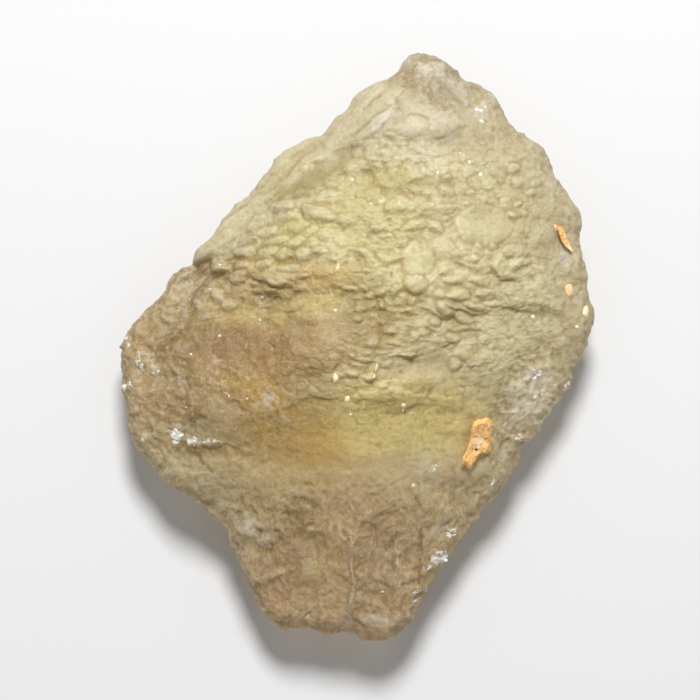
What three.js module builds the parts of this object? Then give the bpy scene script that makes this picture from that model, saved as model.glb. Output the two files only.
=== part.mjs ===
// Raw desert glass: one flat, kite-shaped piece of natural glass, worn by wind and sand, lying on
// its broad underside. Two crusts of baked sand sit in hollows of its face.
// Millimetres, +Z up. The origin is on the surface it rests on, under the middle of the piece.
// +Y runs to the pointed end, and +X is to the right when the face is seen from above.
import * as THREE from "three";
import { SimplexNoise } from "three/addons/math/SimplexNoise.js";

// Size of the whole piece
const LENGTH = 82;
const WIDTH = 66.5;
const THICKNESS = 24;

// The rim, a worn wedge all the way round
const RIM_HEIGHT = 8.5;
const RIM_WAVE = 1.3;
const RIM_WAVELENGTH = 34;
const EDGE_ROUND = 1.3;

// How the face and the underside swell from the rim to the middle
const FACE_RISE = 15;
const FACE_FULLNESS = 0.86;
const UNDER_DROP = 9.2;
const UNDER_FULLNESS = 0.8;
const UNDER_WAVE = 0.5;
const UNDER_WAVELENGTH = 11;
const RELIEF_MARGIN = 3;
const SCOOP_SOFTNESS = 1.4;

// Fineness of the solids
const STONE_RINGS = 28;
const CRUST_RINGS = 5;
const SLIVER_RINGS = 3;

// Baked sand
const CRUST_THICKNESS = 0.9;
const CRUST_EDGE = 0.3;
const CRUST_WAVE = 0.15;
const CRUST_WAVELENGTH = 1.8;
const SEAT_GAP = 0.3;

// The outline of the face, clockwise from the pointed end, with the corners that wear has left
const STONE_OUTLINE = [
  [7.0, 40.8], [9.8, 41.1], [12.4, 40.0], [14.0, 38.6], [15.0, 37.5], [18.0, 36.4], [19.4, 35.4],
  [20.6, 32.8], [21.6, 30.9], [23.6, 29.4], [26.0, 28.0], [27.0, 26.4], [27.6, 24.7],
  [29.6, 21.9], [31.0, 19.4], [31.4, 17.0], [31.1, 14.6], [31.9, 11.6], [32.4, 8.8],
  [32.3, 7.4], [33.2, 5.2], [33.2, 3.6], [32.4, 0.6], [31.6, -1.4], [30.5, -3.2], [30.2, -5.1],
  [28.8, -7.0], [26.9, -9.9], [25.4, -12.3], [23.3, -14.2], [22.6, -15.9], [21.3, -18.4],
  [19.8, -20.6], [16.6, -24.2], [15.6, -26.0], [13.2, -29.1], [11.3, -31.6], [10.4, -33.7],
  [8.1, -37.3], [6.2, -39.7], [4.0, -40.9], [1.8, -41.2], [0.2, -40.8], [-0.8, -39.7],
  [-2.0, -40.0], [-4.2, -40.5], [-5.6, -39.9], [-7.4, -39.4], [-9.2, -39.7], [-12.0, -38.8],
  [-13.8, -36.5], [-15.8, -32.0], [-17.8, -28.0], [-18.8, -24.9], [-20.6, -23.2],
  [-22.6, -21.5], [-25.2, -20.2], [-27.4, -18.5], [-29.2, -16.1], [-31.2, -14.2],
  [-32.2, -11.6], [-32.6, -8.4], [-33.3, -3.4], [-33.5, -1.4], [-32.9, 0.8], [-31.4, 3.8],
  [-29.0, 6.0], [-27.4, 8.0], [-25.4, 10.5], [-23.6, 11.3], [-22.5, 11.7], [-22.7, 13.0],
  [-20.6, 15.0], [-18.8, 18.0], [-17.2, 19.8], [-15.4, 21.1], [-12.4, 24.9], [-10.4, 27.2],
  [-7.4, 29.0], [-5.2, 29.8], [-3.2, 32.0], [-1.6, 33.4], [-0.2, 35.5], [2.6, 37.0],
  [5.2, 38.7], [6.2, 40.0],
];

// Broad scoops in the face: centre, half sizes, turn in degrees and depth.
// A swelling has a depth below zero.
const FACE_SCOOPS = [
  { name: "smoky scoop under the long ledge", at: [-13, 0.5], half: [13, 5.6], turn: 5, depth: 1.7 },
  { name: "left shoulder", at: [-27, -5], half: [6, 9], turn: -12, depth: 0.9 },
  { name: "dark hollow at the left", at: [-22.5, -13], half: [6, 4.5], turn: -20, depth: 1.0 },
  { name: "smooth valley across the face", at: [-1, -13], half: [19, 6.5], turn: 3, depth: 1.6 },
  { name: "right flank of the valley", at: [21, -4], half: [6, 9], turn: -20, depth: 0.9 },
  { name: "smooth lobe on the right", at: [17.5, 16.5], half: [5, 3.4], turn: 0, depth: 0.8 },
  { name: "smooth lobe in the middle", at: [9.5, 13], half: [4, 4.2], turn: 20, depth: 0.7 },
  { name: "narrow lobe beside it", at: [4, 13.5], half: [3.6, 2], turn: -35, depth: 0.6 },
  { name: "crescent under the great lobe", at: [5, 24], half: [8, 2.6], turn: 4, depth: 1.1 },
  { name: "great lobe near the point", at: [9, 31.5], half: [7.5, 4], turn: 0, depth: -0.9 },
  { name: "right bevel", at: [29, 8], half: [3.6, 13], turn: 4, depth: 0.8 },
  { name: "lower left scoop", at: [-7.5, -31], half: [6.5, 9], turn: 8, depth: 1.1 },
  { name: "lower right scoop", at: [5, -31], half: [5.5, 9], turn: -12, depth: 1.1 },
  { name: "seat of the sand crust", at: [16.6, -13.2], half: [3.6, 5.4], turn: -20, depth: 1.1 },
  { name: "groove of the sand sliver", at: [28.6, 15], half: [1.8, 3.2], turn: 25, depth: 0.8 },
];

// Broad scoops in the underside, which is out of sight while the piece lies on it
const UNDER_SCOOPS = [
  { name: "upper scoop", at: [8, 27], half: [9, 8], turn: 20, depth: 1.1 },
  { name: "left scoop", at: [-20, 3], half: [8, 10], turn: -15, depth: 1.2 },
  { name: "right scoop", at: [22, -1], half: [7, 12], turn: -8, depth: 1.1 },
  { name: "lower scoop", at: [-3, -29], half: [9, 8], turn: 0, depth: 1.0 },
];

// Ledges: the face drops on the left-hand side of each line as it is walked, and climbs back
// over the fade.
const LEDGES = [
  {
    name: "long ledge",
    line: [
      [27, 4.2], [20, 5.2], [14, 4.4], [9, 5.0], [3, 6.2], [-1, 8], [-6, 7.6], [-12, 7.0],
      [-17, 9.4], [-22.6, 11.6],
    ],
    drop: 1.9,
    fade: 5,
  },
  {
    name: "crest behind the thin strip",
    line: [
      [1, 23.6], [-6.5, 21.6], [-9.6, 20.4], [-12, 18.2], [-14.2, 16.4], [-16.5, 14.9],
      [-18.5, 13.6], [-20.4, 12.3], [-22.8, 11.6],
    ],
    drop: 1.2,
    fade: 4,
  },
  {
    name: "lip of the great lobe",
    line: [[14, 29.2], [8, 28.2], [2.5, 28.2], [-2.6, 27.2], [-5.6, 25.6]],
    drop: 0.7,
    fade: 3,
  },
  {
    name: "middle ledge",
    line: [[10, -1.0], [6, -1.6], [0, -1.8], [-5, -3.2], [-11, -3.8]],
    drop: 0.8,
    fade: 3,
  },
  {
    name: "lower ledge",
    line: [[15, -9], [9, -7.8], [5, -8.2], [-2, -7], [-8, -7.6]],
    drop: 0.7,
    fade: 3,
  },
];
const LEDGE_EDGE = 1.2;
const LEDGE_END = 2;
const LEDGE_WOBBLE = 0.5;
const LEDGE_WAVELENGTH = 5;

// The upright rib in the middle of the lower end
const LOWER_RIB = { line: [[-0.6, -27], [-0.2, -32], [-1.0, -37.5]], height: 0.8, half: 1.8 };

// The rounded, overlapping lumps that cover the middle of the face
const LUMPS = {
  field: { at: [3, 11], half: [25, 18], turn: -6 },
  fieldFade: [0.7, 1.05],
  fieldWobble: 0.2,
  fieldWavelength: 12,
  pitch: [3.7, 2.9],
  jitter: [0.9, 0.7],
  halfLength: [1.6, 2.9],
  halfWidth: [1.1, 1.9],
  height: [0.5, 1.2],
  turn: 28,
  seed: 11,
};

// Where the baked sand sits, each outline clockwise
const CRUST_OUTLINE = [
  [16.0, -10.0], [18.4, -9.8], [18.6, -11.4], [18.2, -14.3], [16.6, -14.8], [16.1, -16.1],
  [15.4, -17.0], [14.9, -16.1], [14.2, -16.0], [15.0, -13.9], [15.6, -12.0],
];
const SLIVER_OUTLINE = [
  [27.6, 16.8], [28.3, 16.6], [29.0, 15.0], [29.9, 13.0], [28.7, 13.8], [27.9, 15.2],
];

// A repeatable row of numbers from 0 to 1
function seededRandom(seed) {
  let state = seed;
  return () => {
    state = (state + 0x6d2b79f5) | 0;
    let mixed = Math.imul(state ^ (state >>> 15), 1 | state);
    mixed = (mixed + Math.imul(mixed ^ (mixed >>> 7), 61 | mixed)) ^ mixed;
    return ((mixed ^ (mixed >>> 14)) >>> 0) / 2 ** 32;
  };
}

const noise = new SimplexNoise({ random: seededRandom(5) });

// Noise of a given wavelength, from -1 to 1, with a finer and weaker layer on top
function ripple(x, y, wavelength, layer) {
  const broad = noise.noise3d(x / wavelength, y / wavelength, layer);
  const fine = noise.noise3d((2 * x) / wavelength, (2 * y) / wavelength, layer + 0.5);
  return (2 * broad + fine) / 3;
}

// Where a point lies in a turned ellipse: 0 in the middle, 1 on its edge
function ellipseFraction(x, y, { at, half, turn }) {
  const angle = THREE.MathUtils.degToRad(turn);
  const dx = x - at[0];
  const dy = y - at[1];
  const along = dx * Math.cos(angle) + dy * Math.sin(angle);
  const across = dy * Math.cos(angle) - dx * Math.sin(angle);
  return Math.hypot(along / half[0], across / half[1]);
}

// Depth of a scoop at a point, with a soft middle and a clear edge
function scoopDepth(x, y, scoop) {
  const fraction = ellipseFraction(x, y, scoop);
  return fraction < 1 ? scoop.depth * (1 - fraction ** 2) ** SCOOP_SOFTNESS : 0;
}

function totalDepth(x, y, scoops) {
  return scoops.reduce((sum, scoop) => sum + scoopDepth(x, y, scoop), 0);
}

// The nearest stretch of a line: how far off it is, on which side (1 on the left as the line is
// walked), and how far the point lies past the line's end
function nearestOnLine(x, y, line) {
  let nearest = { distance: Infinity, side: 1, past: 0 };
  for (let i = 1; i < line.length; i++) {
    const [ax, ay] = line[i - 1];
    const [bx, by] = line[i];
    const length = Math.hypot(bx - ax, by - ay);
    const along = ((x - ax) * (bx - ax) + (y - ay) * (by - ay)) / length;
    const left = ((bx - ax) * (y - ay) - (by - ay) * (x - ax)) / length;
    const past = Math.abs(along - THREE.MathUtils.clamp(along, 0, length));
    const distance = Math.hypot(past, left);
    if (distance < nearest.distance) nearest = { distance, side: Math.sign(left), past };
  }
  return nearest;
}

// How far a ledge lowers the face at a point
function ledgeDrop(x, y, { line, drop, fade }) {
  const { distance, side, past } = nearestOnLine(x, y, line);
  const behind = side * distance + LEDGE_WOBBLE * ripple(x, y, LEDGE_WAVELENGTH, 3);
  const step = THREE.MathUtils.smoothstep(behind, -LEDGE_EDGE / 2, LEDGE_EDGE / 2);
  const end = Math.exp(-((past / LEDGE_END) ** 2));
  return drop * step * end * Math.exp(-Math.max(behind, 0) / fade);
}

// Height of the upright rib at a point
function ribHeight(x, y, { line, height, half }) {
  const { distance } = nearestOnLine(x, y, line);
  return height * Math.exp(-((distance / half) ** 2));
}

// The lumps, on a jittered net: centre, half sizes, turn and height of each
function scatterLumps({ field, pitch, jitter, halfLength, halfWidth, height, turn, seed }) {
  const random = seededRandom(seed);
  const between = (low, high) => low + (high - low) * random();
  const lumps = [];
  const columns = Math.ceil((2 * field.half[0]) / pitch[0]);
  const rows = Math.ceil((2 * field.half[1]) / pitch[1]);
  for (let row = 0; row <= rows; row++) {
    for (let column = 0; column <= columns; column++) {
      const x = field.at[0] - field.half[0] + (column + (row % 2) / 2) * pitch[0];
      const y = field.at[1] - field.half[1] + row * pitch[1];
      lumps.push({
        at: [x + between(-jitter[0], jitter[0]), y + between(-jitter[1], jitter[1])],
        half: [between(...halfLength), between(...halfWidth)],
        turn: between(-turn, turn),
        height: between(...height),
      });
    }
  }
  return lumps;
}

// Height of the highest lump at a point, fading out towards the edge of their field
function lumpHeight(x, y, lumps) {
  const wobble = LUMPS.fieldWobble * ripple(x, y, LUMPS.fieldWavelength, 9);
  const reach = ellipseFraction(x, y, LUMPS.field) + wobble;
  const strength = 1 - THREE.MathUtils.smoothstep(reach, ...LUMPS.fieldFade);
  if (strength === 0) return 0;
  let highest = 0;
  for (const lump of lumps) {
    const fraction = ellipseFraction(x, y, lump);
    if (fraction < 1) highest = Math.max(highest, lump.height * Math.sqrt(1 - fraction ** 2));
  }
  return strength * highest;
}

// A closed outline as evenly spaced points
function outlinePoints(corners, count) {
  const points = corners.map(([x, y]) => new THREE.Vector3(x, y, 0));
  const curve = new THREE.CatmullRomCurve3(points, true, "centripetal");
  return curve.getSpacedPoints(count).slice(0, count);
}

// The same points, moved and stretched so that their box is centred and has the given size
function fitToSize(points, width, length) {
  const box = new THREE.Box3().setFromPoints(points);
  const middle = box.getCenter(new THREE.Vector3());
  const size = box.getSize(new THREE.Vector3());
  const stretch = new THREE.Vector3(width / size.x, length / size.y, 1);
  return points.map((point) => point.clone().sub(middle).multiply(stretch));
}

// The point of a closed outline at a fraction of the way round
function pointOnRim(rim, fraction) {
  const place = fraction * rim.length;
  const before = Math.floor(place);
  const from = rim[before % rim.length];
  const to = rim[(before + 1) % rim.length];
  return new THREE.Vector3().lerpVectors(from, to, place - before);
}

// A closed body over an outline: an upper and a lower skin that share the rim. Each is made of
// rings, and ring k is the outline drawn in to k / rings of its size, with 6 k points.
function lensGeometry(rim, rings, { rimHeight, topHeight, underHeight }) {
  const middle = new THREE.Box3().setFromPoints(rim).getCenter(new THREE.Vector3());
  const ringStart = (ring) => (ring === 0 ? 0 : 1 + 3 * ring * (ring - 1));
  const skinCount = ringStart(rings);
  const positions = [];
  const addRing = (ring, height) => {
    const count = Math.max(1, 6 * ring);
    for (let step = 0; step < count; step++) {
      const edge = pointOnRim(rim, step / count);
      const { x, y } = new THREE.Vector3().lerpVectors(middle, edge, ring / rings);
      positions.push(x, y, height(x, y));
    }
  };
  for (let ring = 0; ring < rings; ring++) addRing(ring, topHeight);
  for (let ring = 0; ring < rings; ring++) addRing(ring, underHeight);
  addRing(rings, rimHeight);

  const faces = [];
  const addSkin = (first, outwards) => {
    const vertex = (ring, step) => {
      const start = ring === rings ? 2 * skinCount : first + ringStart(ring);
      return start + (step % Math.max(1, 6 * ring));
    };
    for (let ring = 1; ring <= rings; ring++) {
      for (let step = 0; step < 6 * ring; step++) {
        const sector = Math.floor(step / ring);
        const inner = step - sector;
        const here = vertex(ring, step);
        const next = vertex(ring, step + 1);
        const behind = vertex(ring - 1, inner);
        faces.push(...outwards(next, here, behind));
        if (step % ring < ring - 1) faces.push(...outwards(behind, vertex(ring - 1, inner + 1), next));
      }
    }
  };
  addSkin(0, (a, b, c) => [a, b, c]);
  addSkin(skinCount, (a, b, c) => [a, c, b]);

  const geometry = new THREE.BufferGeometry();
  geometry.setAttribute("position", new THREE.Float32BufferAttribute(positions, 3));
  geometry.setIndex(faces);
  geometry.computeVertexNormals();
  return geometry;
}

// Distance from a point to the rim
function rimDistance(x, y, rim) {
  let nearest = Infinity;
  const here = new THREE.Vector3(x, y, 0);
  const side = new THREE.Line3();
  const foot = new THREE.Vector3();
  for (let i = 0; i < rim.length; i++) {
    side.set(rim[i], rim[(i + 1) % rim.length]);
    side.closestPointToPoint(here, true, foot);
    nearest = Math.min(nearest, foot.distanceTo(here));
  }
  return nearest;
}

// A distance to the rim that all of its sides share in, so that it has no crease where the
// nearest side changes. Beside a long straight side it is the true distance.
function sharedDistance(x, y, samples, spacing) {
  let sum = 0;
  for (const sample of samples) sum += spacing / Math.hypot(x - sample.x, y - sample.y) ** 3;
  return Math.sqrt(2 / sum);
}

// The stone: one natural piece of glass
function makeStone() {
  const rim = fitToSize(outlinePoints(STONE_OUTLINE, 6 * STONE_RINGS), WIDTH, LENGTH);
  const sampleCount = 5 * rim.length;
  const samples = Array.from({ length: sampleCount }, (_, i) => pointOnRim(rim, i / sampleCount));
  const spacing = samples[0].distanceTo(samples[1]);
  const deepest = sharedDistance(0, 0, samples, spacing);
  const lumps = scatterLumps(LUMPS);

  const rimHeight = (x, y) => RIM_HEIGHT + RIM_WAVE * ripple(x, y, RIM_WAVELENGTH, 1);
  const roundedEdge = (distance) => {
    const inside = Math.min(distance / EDGE_ROUND, 1);
    return EDGE_ROUND * Math.sqrt(1 - (1 - inside) ** 2);
  };
  const topHeight = (x, y) => {
    const distance = rimDistance(x, y, rim);
    const inwards = sharedDistance(x, y, samples, spacing) / deepest;
    const edge = rimHeight(x, y) + roundedEdge(distance);
    let relief = lumpHeight(x, y, lumps) + ribHeight(x, y, LOWER_RIB) - totalDepth(x, y, FACE_SCOOPS);
    for (const ledge of LEDGES) relief -= ledgeDrop(x, y, ledge);
    const worn = THREE.MathUtils.smoothstep(distance, 0, RELIEF_MARGIN);
    return Math.max(edge + FACE_RISE * inwards ** FACE_FULLNESS + worn * relief, edge);
  };
  const underHeight = (x, y) => {
    const distance = rimDistance(x, y, rim);
    const inwards = sharedDistance(x, y, samples, spacing) / deepest;
    const relief = totalDepth(x, y, UNDER_SCOOPS) + UNDER_WAVE * ripple(x, y, UNDER_WAVELENGTH, 6);
    const worn = THREE.MathUtils.smoothstep(distance, 0, RELIEF_MARGIN);
    const belly = UNDER_DROP * inwards ** UNDER_FULLNESS;
    return Math.max(rimHeight(x, y) - roundedEdge(distance) - belly + worn * relief, 0);
  };

  const geometry = lensGeometry(rim, STONE_RINGS, { rimHeight, topHeight, underHeight });
  geometry.computeBoundingBox();
  geometry.scale(1, 1, THICKNESS / geometry.boundingBox.max.z);
  const material = new THREE.MeshStandardMaterial({ color: 0xbfb184, roughness: 0.4, metalness: 0 });
  const stone = new THREE.Mesh(geometry, material);
  stone.name = "desert_glass";
  return stone;
}

// A crust of baked sand that follows the face under it, a small gap above the glass
function makeCrust(name, corners, rings, thickness, stone) {
  const rim = outlinePoints(corners, 6 * rings);
  const down = new THREE.Vector3(0, 0, -1);
  const above = 2 * THICKNESS;
  const seatHeight = (x, y) => {
    const ray = new THREE.Raycaster(new THREE.Vector3(x, y, above), down);
    return ray.intersectObject(stone)[0].point.z + SEAT_GAP;
  };
  const rimHeight = (x, y) => seatHeight(x, y) + CRUST_EDGE;
  const topHeight = (x, y) =>
    seatHeight(x, y) + thickness + CRUST_WAVE * ripple(x, y, CRUST_WAVELENGTH, 4);
  const geometry = lensGeometry(rim, rings, { rimHeight, topHeight, underHeight: seatHeight });
  const material = new THREE.MeshStandardMaterial({ color: 0xd9a862, roughness: 0.95, metalness: 0 });
  const crust = new THREE.Mesh(geometry, material);
  crust.name = name;
  return crust;
}

const stone = makeStone();
const piece = new THREE.Group();
piece.add(stone);
piece.add(makeCrust("sand_crust", CRUST_OUTLINE, CRUST_RINGS, CRUST_THICKNESS, stone));
piece.add(makeCrust("sand_sliver", SLIVER_OUTLINE, SLIVER_RINGS, CRUST_THICKNESS / 2, stone));

export default piece;
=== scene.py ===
"""Raw desert glass: a flat, kite-shaped piece of natural glass, lying on its broad underside."""
import math

import bmesh
import bpy
import numpy as np
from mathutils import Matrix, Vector
from mathutils.bvhtree import BVHTree


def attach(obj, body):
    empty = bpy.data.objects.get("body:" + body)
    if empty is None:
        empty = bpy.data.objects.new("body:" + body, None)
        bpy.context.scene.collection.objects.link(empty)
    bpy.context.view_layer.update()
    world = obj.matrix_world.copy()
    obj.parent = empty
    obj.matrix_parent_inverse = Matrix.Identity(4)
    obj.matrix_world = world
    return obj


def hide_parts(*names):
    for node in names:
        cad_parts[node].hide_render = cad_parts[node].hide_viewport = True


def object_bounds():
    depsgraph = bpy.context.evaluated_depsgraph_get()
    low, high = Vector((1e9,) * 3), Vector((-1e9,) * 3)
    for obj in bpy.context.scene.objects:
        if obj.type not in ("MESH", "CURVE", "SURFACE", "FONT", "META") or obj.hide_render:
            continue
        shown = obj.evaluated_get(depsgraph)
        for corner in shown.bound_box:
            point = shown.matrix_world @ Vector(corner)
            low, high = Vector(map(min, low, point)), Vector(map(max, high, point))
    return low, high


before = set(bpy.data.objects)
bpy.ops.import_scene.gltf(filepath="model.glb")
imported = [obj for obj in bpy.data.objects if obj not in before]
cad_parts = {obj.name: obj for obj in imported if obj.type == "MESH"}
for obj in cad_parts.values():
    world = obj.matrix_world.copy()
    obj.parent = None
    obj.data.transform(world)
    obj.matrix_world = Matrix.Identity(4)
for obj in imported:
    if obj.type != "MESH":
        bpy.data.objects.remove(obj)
cad_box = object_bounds()


# The stone
# One natural piece of silica glass, melted in the desert and then worn by wind and sand. Its face
# is lumpy and ledged in the middle, and smooth along the thin rim. Places are in millimetres from
# the middle of the face, with y towards the pointed end.
MM = 0.001
MERGE_DISTANCE = 1e-6
FACE_CUTS = 2
COARSE_ROUNDING = 5
SOFTENING = 12
FINE_ROUNDING = 4


def merged_copy(node):
    """A bmesh of a solid's loose triangles, joined up."""
    work = bmesh.new()
    work.from_mesh(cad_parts[node].data)
    bmesh.ops.remove_doubles(work, verts=work.verts, dist=MERGE_DISTANCE)
    bmesh.ops.recalc_face_normals(work, faces=work.faces)
    return work


def neighbour_mean(values, edges):
    """For each point, the mean of a value over the points that an edge joins to it."""
    count = len(values)
    ends = np.concatenate([edges[:, 0], edges[:, 1]])
    others = np.concatenate([edges[:, 1], edges[:, 0]])
    number = np.bincount(ends, minlength=count)
    columns = values.reshape(count, -1).T
    total = np.stack([np.bincount(ends, column[others], count) for column in columns], axis=1)
    return (total / number[:, None]).reshape(values.shape)


def mean_around(values, edges, passes):
    for _ in range(passes):
        values = neighbour_mean(values, edges)
    return values


def wear_round(points, edges, passes):
    """Takes the corners off without shrinking the whole: each pass in is followed by one out."""
    for _ in range(passes):
        for strength in (0.5, -0.52):
            points = points + strength * (neighbour_mean(points, edges) - points)
    return points


def mesh_edges(mesh):
    edges = np.empty(2 * len(mesh.edges), int)
    mesh.edges.foreach_get("vertices", edges)
    return edges.reshape(-1, 2)


def mesh_points(mesh, attribute="co"):
    values = np.empty(3 * len(mesh.vertices))
    mesh.vertices.foreach_get(attribute, values)
    return values.reshape(-1, 3)


def finished_piece(work, piece_name):
    mesh = bpy.data.meshes.new(piece_name)
    work.to_mesh(mesh)
    work.free()
    mesh.polygons.foreach_set("use_smooth", [True] * len(mesh.polygons))
    piece = bpy.data.objects.new(piece_name, mesh)
    bpy.context.scene.collection.objects.link(piece)
    return piece


def lattice(seed):
    return np.random.default_rng(seed).uniform(-1, 1, (4096, 4))


def lattice_key(column, row):
    return (column * 7919 + row * 104729) % 4096


def waviness(x, y, length, seed, height=None):
    """Smooth noise from -1 to 1 with waves of a given length, and height where they are stretched."""
    table = lattice(seed)[:, 0]
    u = x / length
    v = y / (height or length)
    column = np.floor(u).astype(int)
    row = np.floor(v).astype(int)
    across = u - column
    up = v - row
    across = across * across * (3 - 2 * across)
    up = up * up * (3 - 2 * up)
    low = table[lattice_key(column, row)] * (1 - across) + table[lattice_key(column + 1, row)] * across
    high_row = row + 1
    high = (table[lattice_key(column, high_row)] * (1 - across)
            + table[lattice_key(column + 1, high_row)] * across)
    return low * (1 - up) + high * up


def scattered_ovals(x, y, pitch, turn, seed):
    """For each oval of a jittered net that a point may lie in: how far out the point is (squared,
    1 on the edge), how far down across the oval (-1 at its lower edge), and its own number."""
    table = lattice(seed)
    u = x / pitch[0]
    v = y / pitch[1]
    column = np.floor(u).astype(int)
    row = np.floor(v).astype(int)
    for step_x in (-1, 0, 1):
        for step_y in (-1, 0, 1):
            chance = table[lattice_key(column + step_x, row + step_y)]
            dx = pitch[0] * (u - (column + step_x + 0.5 + 0.45 * chance[:, 0]))
            dy = pitch[1] * (v - (row + step_y + 0.5 + 0.45 * chance[:, 1]))
            angle = math.radians(turn) * chance[:, 2]
            along = (dx * np.cos(angle) + dy * np.sin(angle)) / (pitch[0] * (0.78 + 0.26 * chance[:, 3]))
            across = (dy * np.cos(angle) - dx * np.sin(angle)) / (pitch[1] * (0.78 - 0.26 * chance[:, 1]))
            yield along ** 2 + across ** 2, across, 0.75 + 0.25 * chance[:, 0]


def scales(x, y, pitch, seed, turn=35, lean=0.28):
    """Rounded lumps that overlap like scales: each stands a little proud at its lower edge."""
    highest = np.zeros(x.shape)
    for outward, across, share in scattered_ovals(x, y, pitch, turn, seed):
        body = np.sqrt(np.clip(1 - outward, 0, 1))
        highest = np.maximum(highest, body * (1 - lean * across) * share)
    return highest


def lump(x, y, at, half, turn, lean=0.3):
    """A rounded lump that stands proud at its lower edge, and 0 outside it."""
    angle = math.radians(turn)
    dx = x - at[0]
    dy = y - at[1]
    along = (dx * math.cos(angle) + dy * math.sin(angle)) / half[0]
    across = (dy * math.cos(angle) - dx * math.sin(angle)) / half[1]
    return np.sqrt(np.clip(1 - along ** 2 - across ** 2, 0, 1)) * (1 - lean * across)


def chips(x, y, pitch, seed, turn=180):
    """Shallow bowls with sharp edges between them, as where flakes have come off glass."""
    deepest = np.zeros(x.shape)
    for outward, _, share in scattered_ovals(x, y, pitch, turn, seed):
        deepest = np.maximum(deepest, np.clip(1 - outward, 0, 1) * share)
    return -deepest


def in_ellipse(x, y, at, half, turn=0.0, soft=0.35):
    """1 inside a turned ellipse, fading to 0 around its edge."""
    angle = math.radians(turn)
    dx = x - at[0]
    dy = y - at[1]
    along = dx * math.cos(angle) + dy * math.sin(angle)
    across = dy * math.cos(angle) - dx * math.sin(angle)
    fraction = np.hypot(along / half[0], across / half[1])
    fade = np.clip((1 + soft - fraction) / (2 * soft), 0, 1)
    return fade * fade * (3 - 2 * fade)


def line_depth(x, y, line):
    """How far below a line of points each place lies, and how far past the line's ends."""
    nearest = np.full(x.shape, 99.0)
    depth = np.zeros(x.shape)
    beyond = np.zeros(x.shape)
    for (ax, ay), (bx, by) in zip(line, line[1:]):
        length = math.hypot(bx - ax, by - ay)
        along = ((x - ax) * (bx - ax) + (y - ay) * (by - ay)) / length
        below = ((x - ax) * (by - ay) - (y - ay) * (bx - ax)) / length
        past = along - np.clip(along, 0, length)
        distance = np.hypot(below, past)
        closer = distance < nearest
        depth = np.where(closer, np.where(below > 0, distance, -distance), depth)
        beyond = np.where(closer, np.abs(past), beyond)
        nearest = np.where(closer, distance, nearest)
    return depth, beyond


def smooth_step(values, low, high):
    share = np.clip((values - low) / (high - low), 0, 1)
    return share * share * (3 - 2 * share)


def below_line(x, y, line, fade, blunt=0.3, end=0.8):
    """1 just below a crease, fading back to 0 with the distance from it, and 0 above it."""
    depth, beyond = line_depth(x, y, line)
    drop = np.exp(-np.clip(depth, 0, None) / fade) * np.exp(-((beyond / end) ** 2))
    return smooth_step(depth, -blunt / 2, blunt / 2) * drop


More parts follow.
